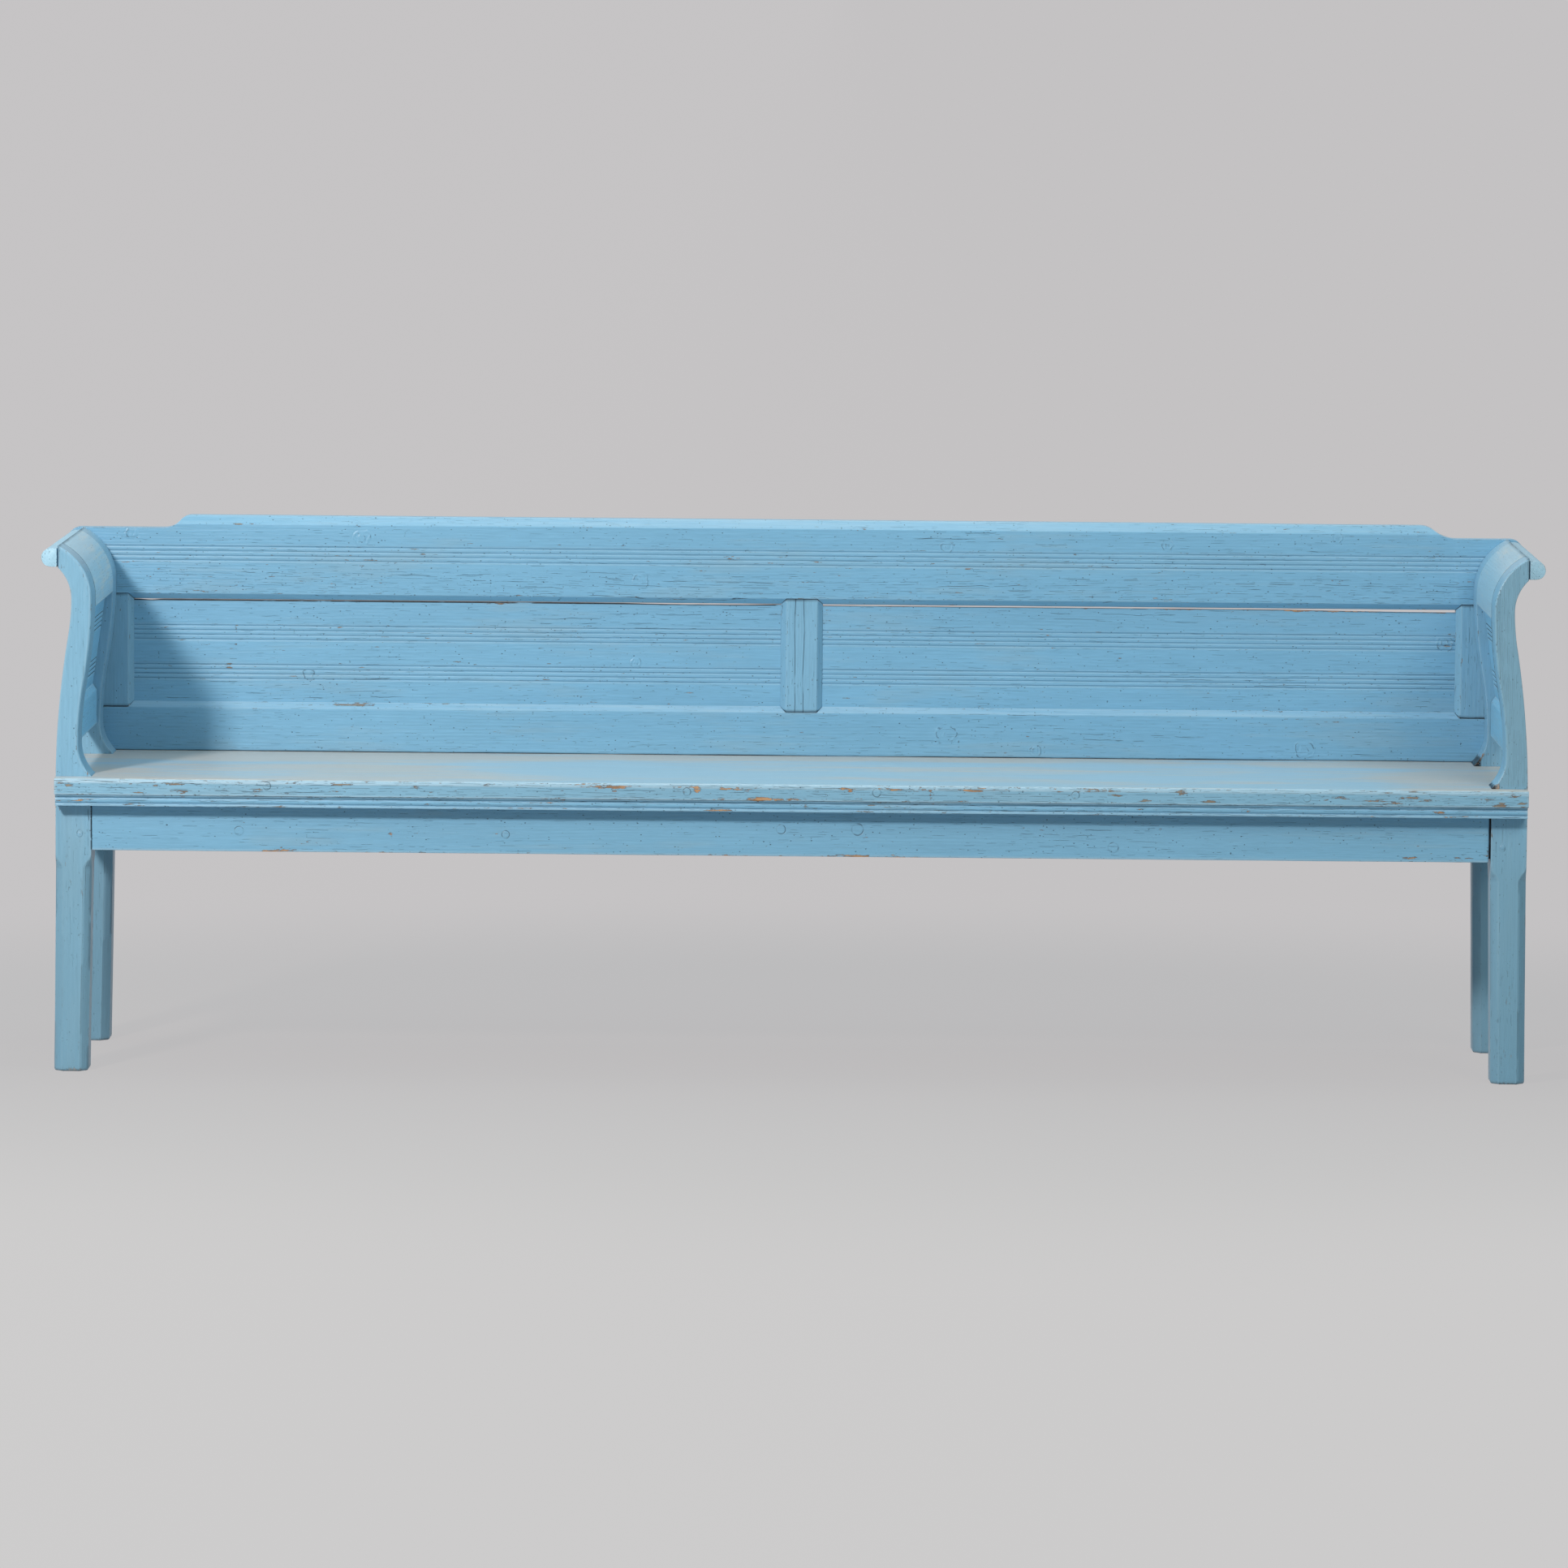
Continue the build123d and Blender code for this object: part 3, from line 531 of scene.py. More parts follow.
# ------------------------------------------------------------------ materials
class Wire:
    """A socket of a material.  Sums written on wires and numbers add the Math nodes that work them out."""

    def __init__(self, paint, socket):
        self.paint, self.socket = paint, socket

    def maths(self, operation, first, second=0.0):
        return self.paint.node("ShaderNodeMath", {"operation": operation}, (first, second))[0]

    def __add__(self, other):
        return self.maths("ADD", self, other)

    def __sub__(self, other):
        return self.maths("SUBTRACT", self, other)

    def __rsub__(self, other):
        return self.maths("SUBTRACT", other, self)

    def __mul__(self, other):
        return self.maths("MULTIPLY", self, other)

    def __pow__(self, other):
        return self.maths("POWER", self, other)

    __radd__, __rmul__ = __add__, __mul__

    def size(self):
        return self.maths("ABSOLUTE", self)

    def sine(self):
        return self.maths("SINE", self)

    def most(self, other):
        return self.maths("MAXIMUM", self, other)

    def ramp(self, start, end):
        """0 where the value is start, 1 where it is end, eased between them."""
        settings = {"interpolation_type": "SMOOTHSTEP", "clamp": True}
        low, high, first, last = (start, end, 0.0, 1.0) if start < end else (end, start, 1.0, 0.0)
        return self.paint.node("ShaderNodeMapRange", settings, (self, low, high, first, last))[0]


class Nodes:
    """The node tree of a material or of the world, emptied and ready to be built up."""

    def __init__(self, owner):
        owner.use_nodes = True
        self.tree = owner.node_tree
        self.tree.nodes.clear()

    def node(self, kind, settings=None, values=()):
        """A node with its settings made first, then its inputs by order or by name.  Returns its outputs."""
        made = self.tree.nodes.new(kind)
        for key, value in (settings or {}).items():
            setattr(made, key, value)
        named = values.items() if isinstance(values, dict) else enumerate(values)
        for key, value in named:
            entry = made.inputs[key]
            if isinstance(value, Wire):
                self.tree.links.new(value.socket, entry)
            elif entry.type == "VECTOR":
                entry.default_value = value[:3]
            else:
                entry.default_value = value
        return [Wire(self, socket) for socket in made.outputs]

    def split(self, vector):
        return self.node("ShaderNodeSeparateXYZ", None, (vector,))

    def seen(self):
        """1 for rays from the camera, mirrors and glass."""
        rays = self.node("ShaderNodeLightPath")
        camera, glossy, transmission = rays[0], rays[3], rays[6]
        return camera.most(glossy).most(transmission)


class Paint(Nodes):
    """A material under construction, with the coordinates that its recipes share."""

    def __init__(self, name, grain=X):
        self.material = bpy.data.materials.new(name)
        super().__init__(self.material)
        self.grain = grain
        place = self.node("ShaderNodeTexCoord")[3]
        self.x, self.y, self.z = (axis * 1000.0 for axis in self.split(place))
        board = self.attribute("board")[2]
        shift = self.node("ShaderNodeCombineXYZ", None, (board * 3.17, board * 7.31, board * 5.53))[0]
        self.place = self.node("ShaderNodeVectorMath", {"operation": "ADD"}, (place, shift))[0]
        first, second = [axis for k, axis in enumerate((self.x, self.y, self.z)) if k != grain]
        self.across = first * 0.8 + second

    def attribute(self, name):
        """Colour, vector and value of an attribute."""
        return self.node("ShaderNodeAttribute", {"attribute_name": name})

    def lines(self, spacing, wander, width, where):
        """Thin lines along the grain, a spacing in millimetres apart, that wander and show in places.

        They lie where the sine of pi times the place across the grain, in spacings, is near nothing.
        """
        phase = self.across * (1 / spacing) + wander
        return (phase * pi).sine().size().ramp(width * 1.6, width * 0.5) * where

    def stretch(self, with_grain, across):
        """The place, in cycles to a metre along the grain and across it."""
        scale = tuple(with_grain if k == self.grain else across for k in range(3))
        return self.node("ShaderNodeVectorMath", {"operation": "MULTIPLY"}, (self.place, scale))[0]

    def noise(self, with_grain, across, detail=2.0, roughness=0.5):
        """Fractal noise about 0.5, in cycles to a metre along the grain and across it."""
        values = {"Vector": self.stretch(with_grain, across), "Scale": 1.0, "Detail": detail,
                  "Roughness": roughness}
        return self.node("ShaderNodeTexNoise", None, values)[0]

    def blend(self, amount, first, second):
        """Mixes two colours by an amount from 0 to 1."""
        settings = {"data_type": "RGBA", "clamp_factor": True}
        return self.node("ShaderNodeMix", settings, {0: amount, 6: first, 7: second})[2]

    def shade(self, colour, factor):
        """A colour made lighter or darker by a factor."""
        return self.node("ShaderNodeVectorMath", {"operation": "SCALE"}, {0: colour, 3: factor})[0]

    def finish(self, colour, roughness, height, **constants):
        """Joins the colour, the roughness and a height in millimetres to the surface."""
        bump = self.node("ShaderNodeBump", None, {"Height": height, "Distance": MM, "Strength": 1.0})[0]
        values = {"Base Color": colour, "Roughness": roughness, "Normal": bump, **constants}
        surface = self.node("ShaderNodeBsdfPrincipled", None, values)[0]
        self.node("ShaderNodeOutputMaterial", None, (surface,))
        return self.material


def srgb(red, green, blue):
    """A colour given as display values from 0 to 255, as the linear values that the nodes use."""
    share = np.array([red, green, blue]) / 255
    linear = np.where(share <= 0.04045, share / 12.92, ((share + 0.055) / 1.055) ** 2.4)
    return (*linear.tolist(), 1.0)


blue = srgb(119, 174, 207)
grey_blue = srgb(132, 168, 188)
pale_blue = srgb(176, 200, 213)
bare_wood = srgb(186, 146, 108)
grey_wood = srgb(138, 132, 120)
old_wood = srgb(112, 90, 74)
chip_rim = srgb(92, 84, 82)
grime = srgb(46, 74, 92)
crack_dark = srgb(36, 58, 76)
joint_black = srgb(16, 20, 24)
dried_blue, leg_blue = srgb(122, 160, 180), srgb(117, 160, 183)
rubbed_blue, rubbed_beige = srgb(160, 189, 206), srgb(190, 185, 178)
iron_coat, rust_dark, rust_light = srgb(118, 164, 190), srgb(92, 66, 50), srgb(136, 92, 62)


def painted_wood(name, grain, colour=blue, patchy=grey_blue, patch_share=0.12, pale=0.5, extra=None):
    """Brush-painted softwood with its grain along one axis.

    The colour drifts in clouds and brush marks.  The wood's figure and its hairline cracks are lines along
    the grain.  Rubbed places and arrises, broken up by noise, bare a dark rim and then pale wood.  Knots and
    filled holes are rings about the nearest mark.  Dirt darkens inward corners and seams, and what faces
    upwards is bleached.
    """
    paint = Paint(name, grain)
    clouds = paint.noise(2.5, 8.0, 3.0)
    patches = paint.noise(4.0, 16.0, 3.0, 0.6)
    brush = paint.noise(5.0, 150.0, 3.0, 0.6)
    fibre = paint.noise(28.0, 480.0, 2.0, 0.6)
    bends = paint.noise(0.8, 6.0, 2.0)
    figure = ((paint.across * (1 / 5.5) + bends * 7.0) * (2 * pi)).sine()
    figure = figure * paint.noise(4.0, 30.0).ramp(0.35, 0.6)

    tone = 1 + (clouds - 0.5) * 0.16 + (brush - 0.5) * 0.16 + (fibre - 0.5) * 0.26 + figure * 0.015
    patched = (patches - 0.5 + (brush - 0.5) * 0.5).ramp(0.02, 0.22) * (patch_share * 3)
    shown = paint.shade(paint.blend(patched, colour, patchy), tone)
    lumps = paint.noise(40.0, 60.0).ramp(0.6, 0.8)
    height = brush * 0.35 + fibre * 0.24 + figure * 0.05 + lumps * 0.15
    roughness = 0.38 + (clouds - 0.5) * 0.2 + (fibre - 0.5) * 0.15

    busy = 0.0
    if grain == X:
        strip_low, strip_high, edge = 710.0, 748.0, 4.0
        under_grooves = paint.z.ramp(strip_low - edge, strip_low + edge)
        under_grooves = under_grooves * paint.z.ramp(strip_high + edge, strip_high - edge)
        nosing = paint.y.ramp(seat_low[1] + 18.5, seat_low[1] + 3.5)
        busy = 0.12 * under_grooves + 0.14 * nosing
    zone = paint.noise(2.2, 20.0) + busy
    shaky = (paint.noise(30.0, 60.0, 2.0) - 0.5) * 0.9
    crack = paint.lines(9.3, bends * 5.0 + shaky * 0.6, 0.09,
                        zone.ramp(0.60, 0.66) * paint.noise(21.0, 110.0).ramp(0.50, 0.56))
    check = paint.lines(3.7, bends * 12.0 + shaky, 0.13,
                        (paint.noise(42.0, 270.0) + busy * 0.6).ramp(0.60, 0.64) * zone.ramp(0.36, 0.5))
    crack = crack.most(check * 0.75)

    pits = paint.node("ShaderNodeTexVoronoi", None, {"Vector": paint.stretch(20.0, 26.0), "Scale": 1.0})
    size = paint.split(pits[1])
    pit = (pits[0] - (size[0] - 0.5) * 0.075).ramp(0.0, -0.010)
    specks = paint.node("ShaderNodeTexVoronoi", None, {"Vector": paint.stretch(190.0, 280.0), "Scale": 1.0})
    speck_size = (paint.split(specks[1])[0] - 0.64) * 0.8
    speck = (specks[0] - speck_size).ramp(0.0, -0.08) * paint.noise(9.0, 30.0).ramp(0.36, 0.5)
    pit = pit.most(speck * 0.85)

    across, up, kind = paint.split(paint.attribute("mark")[1])
    warp = paint.noise(60.0, 60.0, 3.0)
    knotty, here = kind.ramp(0.6, 0.9), kind.ramp(0.1, 0.4)
    radius = (across * across + up * up) ** 0.5 + (warp - 0.5) * (0.25 + knotty * 1.3)
    broken = paint.noise(55.0, 90.0, 2.0).ramp(0.44, 0.54)
    ring = (radius - 1.0).size().ramp(0.15, 0.04) * here * (0.25 + broken * 0.75) * (1 - knotty)
    whorl = (radius * 8.0 + (paint.noise(90.0, 40.0) - 0.5) * 5.0).sine()
    beside = (across.size() - up.size() * 0.5).ramp(-0.1, 0.4) * radius.ramp(1.7, 0.9) * knotty
    split = ring.most(whorl.ramp(0.85, 0.99) * beside * broken)
    height = height + radius.ramp(1.25, 0.6) * here * 0.3 + whorl * beside * 0.3 - split * 0.4

    wear = paint.attribute("wear")[2]
    streaks = paint.noise(30.0, 330.0, 3.0, 0.6)
    flakes = paint.noise(120.0, 400.0, 3.0, 0.65)
    rub = paint.attribute("rubbed")[2]
    bare_here = (rub * 0.85 + wear * 0.18 + (streaks - 0.5) * 2.2
                 + (flakes - 0.5) * 1.6 + (patches - 0.5) * 0.5 + busy * 0.5)
    rim = bare_here.ramp(0.62, 0.67)
    bare = bare_here.ramp(0.73, 0.79)
    held = paint.attribute("dirt")[2]
    dirt = (held * (held * (paint.noise(8.0, 26.0, 3.0) - 0.5) * 3.0 + 0.85)).ramp(0.05, 1.0)
    upward = paint.split(paint.node("ShaderNodeNewGeometry")[1])[2].ramp(0.35, 0.95)
    shown = paint.blend(upward * (brush - 0.2), shown, pale_blue)
    shown = paint.blend(wear.ramp(0.45, 1.0) * (0.3 + flakes) * pale, shown, pale_blue)
    shown = paint.blend(dirt * 0.75, shown, grime)
    shown = paint.blend((crack * 0.85).most(split * 0.6).most(pit * 0.85), shown, crack_dark)
    shown = paint.blend(rim * 0.8, shown, chip_rim)
    wood = paint.blend(clouds.ramp(0.46, 0.58), bare_wood, grey_wood)
    wood = paint.blend(fibre.ramp(0.42, 0.62) * 0.75, wood, old_wood)
    shown = paint.blend(bare, shown, wood)
    broken_out = ((flakes - 0.5) * 1.5 + rub).ramp(1.25, 1.4)
    shown = paint.blend(held.ramp(1.2, 2.0).most(broken_out), shown, joint_black)
    height = height - crack * 0.4 - pit * 0.4 - rim * 0.22
    roughness = roughness + rim * 0.25 + dirt * 0.2
    if extra:
        shown, height = extra(paint, shown, height)
    return paint.finish(shown, roughness, height)


def near_back(paint):
    """1 from the face of the framed back on, eased in just before it."""
    return paint.y.ramp(back_face - 13.5, back_face - 3.5)


def muntin_cracks(paint):
    """Two long cracks down the muntin: lines about a middle, moved aside by a noise along the grain."""
    middle, wander = (muntin_left + muntin_right) / 2, 9.0
    cracks = 0.0
    for beside, bend in ((-10.5, 7.0), (3.5, 11.0)):
        aside = paint.x - (middle + beside) - (paint.noise(bend, 1.0, 2.0) - 0.5) * wander
        cracks = aside.size().ramp(0.75, 0.25).most(cracks)
    wide = paint.x.ramp(muntin_left - 2, muntin_left + 2) * paint.x.ramp(muntin_right + 2, muntin_right - 2)
    high = paint.z.ramp(flat_below - 7, flat_below + 1) * paint.z.ramp(flat_above + 11, flat_above + 1)
    return cracks * wide * high * near_back(paint) * paint.noise(14.0, 2.0).ramp(0.34, 0.46)


def dried_post(paint):
    """Front of the right-hand front post, above the seat, and the short cracks in its dried paint."""
    face = paint.x.ramp(leg_inner - 4, leg_inner + 4) * paint.y.ramp(front_face + 2.5, front_face + 0.5)
    face = face * paint.z.ramp(seat_height - 5, seat_height + 10)
    wavy = paint.noise(1.5, 12.0) * 10.0 + (paint.noise(35.0, 60.0) - 0.5) * 1.2
    spread = paint.lines(2.2, wavy, 0.14, paint.noise(28.0, 200.0).ramp(0.47, 0.55))
    inner_side = paint.x.ramp(1112, 1088) * paint.z.ramp(560, 640)
    close = paint.lines(1.7, wavy, 0.2, paint.noise(24.0, 160.0).ramp(0.45, 0.55)) * inner_side
    return face, (spread * 0.65).most(close * 0.8) * face


def leg_in_the_gap(paint):
    """The leg's side behind the gap at an end of the front apron, black as far as the apron is thick."""
    middle = front_face + 16.5
    beside = paint.x.size().ramp(leg_inner + 1.0, leg_inner + 0.3)
    height = paint.z.ramp(apron_bottom - 1, apron_bottom + 3) * paint.z.ramp(seat_bottom, seat_bottom - 1)
    return beside * height * (paint.y - middle).size().ramp(13.6, 12.8)


def broken_feet(paint):
    """Where the thin feet of the right-hand posts have broken away on the seat, up to a crumbling height."""
    crumbs = paint.noise(160.0, 220.0, 3.0, 0.6) - 0.5
    rear = (paint.z + crumbs * 26.0).ramp(seat_height + 15, seat_height + 10)
    rear = rear * paint.x.ramp(leg_inner + 13, leg_inner + 9) * paint.y.ramp(60, 100)
    front = (paint.z + crumbs * 18.0).ramp(seat_height + 6, seat_height + 2)
    front = front * paint.x.ramp(leg_inner + 7, leg_inner + 4) * paint.y.ramp(-100, -150)
    foot = paint.x.ramp(leg_inner - 10, leg_inner - 4) * paint.z.ramp(seat_height - 2, seat_height)
    return rear.most(front) * foot * crumbs.ramp(0.16, 0.08)


def open_joints(paint):
    """Joints that show as ragged black lines: beside the right-hand arm panel, under the stiles and beside
    the left-hand end of the front apron."""
    ragged = paint.noise(120.0, 9.0, 3.0, 0.6) - 0.5
    panel = (paint.y + ragged * 40.0 - front_back).ramp(-13.0, -10.0) * paint.y.ramp(-100, -140)
    panel = panel * paint.x.ramp(leg_inner - 10, leg_inner - 4)
    panel = panel * paint.z.ramp(560, 575) * paint.z.ramp(neck_height - 12, neck_height - 22)
    stile = (paint.z - flat_below - 0.4).size().ramp(1.6, 1.1) * near_back(paint)
    stile = stile * paint.x.size().ramp(opening_half_length, opening_half_length + 4.0)
    apron = (paint.x + leg_inner + 0.7).size().ramp(1.3, 0.7)
    apron = apron * paint.y.ramp(front_face + 8.5, front_face + 4.5)
    apron = apron * paint.z.ramp(apron_bottom, apron_bottom + 2) * paint.z.ramp(seat_bottom, seat_bottom - 1)
    apron = apron * ragged.ramp(-0.14, -0.04)
    return (panel * 0.9).most(stile * 0.85).most(apron * 0.85)


def upright_extras(paint, shown, height):
    """Greyer paint low on the legs and on the right-hand front post, cracks, broken feet and open joints."""
    streaks = paint.noise(7.0, 60.0, 3.0, 0.6)
    dried, dry_cracks = dried_post(paint)
    shown = paint.blend(dried * (0.35 + streaks * 0.5), shown, dried_blue)
    shown = paint.blend(dry_cracks, shown, crack_dark)
    for dark in (leg_in_the_gap(paint), broken_feet(paint), open_joints(paint)):
        shown = paint.blend(dark, shown, joint_black)
    low_on_legs = paint.z.ramp(heel_height - 20, 300) * (0.4 + streaks * 0.5)
    shown = paint.blend(low_on_legs, shown, leg_blue)
    cracks = muntin_cracks(paint)
    return paint.blend(cracks * 0.7, shown, crack_dark), height - cracks * 0.6


def seat_extras(paint, shown, height):
    """Paint on top of the seat, rubbed thin by use to a greyed beige at the back and both ends."""
    on_top = paint.z.ramp(seat_height - 2.0, seat_height - 0.6)
    streaks = paint.noise(2.6, 13.0, 4.0, 0.65)
    lengthwise = paint.noise(6.0, 90.0, 4.0, 0.65)
    share = paint.x.ramp(-250, -750) * 0.45 + paint.y.ramp(70, 170) * 0.55 + paint.x.ramp(860, 1010) * 0.55
    thin = (share + (streaks - 0.5) * 2.6 + (lengthwise - 0.5) * 1.0).ramp(-0.12, 0.7)
    rubbed_paint = paint.blend(thin, rubbed_blue, rubbed_beige)
    rubbed_paint = paint.shade(rubbed_paint, 1 + (lengthwise - 0.5) * 0.2)
    return paint.blend(on_top * 0.9, shown, rubbed_paint), height


def board_extras(paint, shown, height):
    """Black line in the joint over the back panels, ragged, up to where the right-hand slit opens."""
    line = (paint.z - opening_top + 1.0).size().ramp(2.0, 1.3)
    line = line * paint.y.ramp(panel_face - 8.5, panel_face - 3.5) * paint.x.ramp(900, 840)
    ragged = paint.noise(18.0, 60.0, 3.0, 0.6).ramp(0.36, 0.48)
    return paint.blend(line * ragged * 0.9, shown, joint_black), height


def left_arm_extras(paint, shown, height):
    """The left-hand arm has faded more than the right-hand one."""
    return paint.shade(shown, 1 + paint.x.ramp(0, -1000) * 0.15), height


boards_blue = painted_wood("boards_blue", X, pale=0.36, extra=board_extras)
arms_blue = painted_wood("arms_blue", Y, srgb(124, 184, 217), patch_share=0.15, extra=left_arm_extras)
arm_top_blue = painted_wood("arm_top_blue", Y, srgb(149, 190, 212), srgb(174, 192, 200), 0.33,
                            extra=left_arm_extras)
posts_blue = painted_wood("posts_blue", Z, srgb(123, 173, 202), pale=0.2, extra=upright_extras)
seat_blue = painted_wood("seat_blue", X, srgb(126, 175, 203), extra=seat_extras)
peg_blue = painted_wood("peg_blue", Y, srgb(122, 172, 202), patch_share=0.2)


def painted_iron(name):
    """Hammered nail heads under the same paint, rusty where it has flaked: three noises of falling size."""
    paint = Paint(name)
    dents, flakes = paint.noise(120.0, 120.0), paint.noise(260.0, 260.0, 3.0, 0.6)
    grit = paint.noise(900.0, 900.0)
    rust = (flakes + (paint.attribute("dirt")[2] - 0.5) * 0.2).ramp(0.50, 0.56)
    coat = paint.shade(iron_coat, 0.85 + dents * 0.3)
    iron = paint.blend(grit.ramp(0.4, 0.6), rust_dark, rust_light)
    height = dents * 0.3 + grit * 0.05 - rust * 0.2
    return paint.finish(paint.blend(rust, coat, iron), 0.42 + rust * 0.4, height)


nail_paint = painted_iron("nail_paint")


# ------------------------------------------------------------------ the pieces
def post(name, node, face, flip, edge_cut, seed, places):
    """Leg, post and scroll in one plank.

    A station holds the inner and outer edge points: at one height up to the neck, then at one share of the
    turn of each scroll arc.  Its four corners are cut by the stopped chamfers low down, whose depth falls
    from full to nothing on an ogee at the stop, and softened above.
    """
    full = stop_height - stop_length
    heights = steps(0, neck_height, 6.0, full, stop_height, apron_bottom, seat_bottom, seat_height,
                    seat_height + 3)
    turns = np.linspace(0, 1, 19)[1:]

    def edge(edge_x, neck_x, scroll_z):
        scroll = scroll_arc(neck_x, scroll_z, turns)
        return np.concatenate([edge_x(heights), scroll[0]]), np.concatenate([heights, scroll[1]])

    corners = board_between(edge(inner_x, neck_inner, scroll_top), edge(outer_x, neck_outer, scroll_bottom),
                            face, face + front_back - front_face, flip)
    z = corners[:, 0, 2]
    falling = ogee_x(z, 1.0, full, 0.0, stop_height, 0.5)
    tongue = np.where(z < full, 1.0, np.where(z > stop_height, 0.0, falling))[:, None] * np.ones(4)
    cuts = softness + (leg_chamfer - softness) * tongue
    cuts[z > seat_height, 0] = max(edge_cut, softness)
    flat = 0.9 * tongue
    flat[z > seat_height, 0] = 0.6 if edge_cut > softness else 0.0
    plank(name, corners, cuts, posts_blue, node, flat, ends=(foot_chamfer, tight), joined=(False, True),
          seed=seed, places=places)


def posts(side, flip):
    post("front_post_" + side, "front_leg_" + side, front_face, flip, post_edge_chamfer, 11 + flip,
         marks["post_" + side])
    post("rear_post_" + side, "rear_leg_" + side, rear_face, flip, 0.0, 21 + flip, ())


def seat():
    """Seat board, carried along X.  Beyond the legs' inner faces its section drops to a web in each of the
    two notches, hidden inside the posts that stand through it."""
    half, radius, web_thickness = seat_high[0], 6.5, 8.0
    x = steps(-half, half, board_rows, -leg_inner - hairline, -leg_inner, leg_inner, leg_inner + hairline)
    web = np.where(np.abs(x) > leg_inner, seat_bottom + web_thickness, seat_height)
    top, front = seat_height, seat_low[1]
    section = stacked((front, seat_bottom), (front, top), (front_face, top), (front_face, web),
                      (front_back, web), (front_back, top), (rear_face, top), (rear_face, web),
                      (back_face, web), (back_face, top), (bench_back, top), (bench_back, seat_bottom))
    cuts = np.full(12, tight)
    cuts[[0, 1, 10, 11]] = tight, radius, softness, softness

    def dish(rings):
        """Sitting has hollowed the top: it sinks by a smooth share of 0.9 mm, most between front and back."""
        share = np.clip((rings[..., 2] - seat_bottom) / (seat_height - seat_bottom), 0, 1) ** 2
        rings = rings.copy()
        rings[..., 2] -= share * 0.9 * (0.5 + 0.5 * drift(rings * (1, 1, 0), 300.0, 31))
        return rings

    plank("seat_top", along(X, x, section), cuts, seat_blue, "seat_board", ends=(softness, softness),
          joined=(False, False), seed=31, slot="seat_paint", amount=0.0, places=marks["seat"], bend=dish,
          rows={0: 2.8, 1: 6.0, 9: 6.0}, spacing=16.0)


def moulding():
    """Moulding under the seat's edge: fillet, V quirk, bead, V quirk and fillet."""
    fillet, quirk, quirk_depth = 3.0, 1.75, 2.5
    front, back, low, high = moulding_low[1], moulding_high[1], moulding_low[2], moulding_high[2]
    bead_low, bead_high = low + fillet + quirk, high - fillet - quirk
    bead_middle, bead_radius = (bead_low + bead_high) / 2, (bead_high - bead_low) / 2
    bead = [(front + quirk_depth * (1 - cos(a)), bead_middle + bead_radius * sin(a))
            for a in np.linspace(-pi / 2, pi / 2, 6)[1:-1]]
    section = [(front, low), (front, low + fillet), (front + quirk_depth, bead_low), *bead,
               (front + quirk_depth, bead_high), (front, high - fillet), (front, high),
               (back, high), (back, low)]
    plank("beaded_moulding", along(X, steps(moulding_low[0], moulding_high[0], board_rows), section), 0.6,
          boards_blue, "seat_moulding", ends=(1, 1), joined=(False, False), seed=41, amount=0.25,
          corner_rows=3, seams=(8,), crease=0.5)


def aprons():
    """Long aprons with their tenons, the front one drawn off the right-hand leg; side aprons and bearers."""
    low, high = apron_bottom + tenon_inset, seat_bottom - tenon_inset
    inset = (apron_thickness - tenon_thickness) / 2
    for name, face, gap, rows, seed in (
            ("front_apron", front_face, apron_gap, board_rows, 54),
            ("rear_apron", back_face - apron_thickness, 0.0, plain_rows, 10)):
        corners = shouldered(X, -leg_inner + 0.5, leg_inner - gap - 0.3, apron_tenon - gap, rows,
                             (face, face + apron_thickness, apron_bottom, seat_bottom),
                             (face + inset, face + inset + tenon_thickness, low, high))
        plank(name + "_board", corners, softness, boards_blue, name, ends=(0.6, 0.6), seed=seed, amount=0.3,
              places=marks.get(name, ()), buried=(0.5 - leg_inner, leg_inner - gap), rows={3: 5.0})

    def across(side, flip):
        section = rectangle(flip * side_apron_low[0], flip * side_apron_high[0], apron_bottom, seat_bottom)
        y = steps(front_back, rear_face, plain_rows)
        plank("side_apron_board_" + side, along(Y, y, section), softness, arms_blue, "side_apron_" + side,
              ends=(0.6, 0.6), seed=61 + flip)
        section = rectangle(flip * bearer_low[0], flip * bearer_high[0], bearer_low[2], seat_bottom)
        y = steps(front_face + apron_thickness, back_face - apron_thickness, plain_rows)
        plank("bearer_" + side, along(Y, y, section), softness, arms_blue, "seat_bearer_" + side,
              ends=(0.6, 0.6), seed=65 + flip)
    both(across)


def bite(x):
    """How far a stile or the muntin cuts into the edge of a rail at x, up to the width of the chamfer."""
    inside = np.maximum(np.abs(x) - opening_half_length, np.minimum(x - muntin_left, muntin_right - x))
    return np.clip(inside, 0, frame_chamfer)


def crest_line(x):
    """Top of the top rail: the crest, a drop on two arcs at each end, the shoulder, the rounded corner."""
    line = np.full(len(x), crest_height)
    for side in (-1, 1):
        run = np.clip(side * x - crest_ends[side], 0, crest_runs[side])
        drop = ogee_x(run, crest_height, 0.0, shoulder_height, crest_runs[side], 1 - crest_meet)
        line = np.where(side * x > crest_ends[side], drop, line)
    past = np.clip(np.abs(x) - (top_rail_high[0] - top_rail_corner), 0, top_rail_corner)
    return line - (top_rail_corner - np.sqrt(top_rail_corner ** 2 - past ** 2))


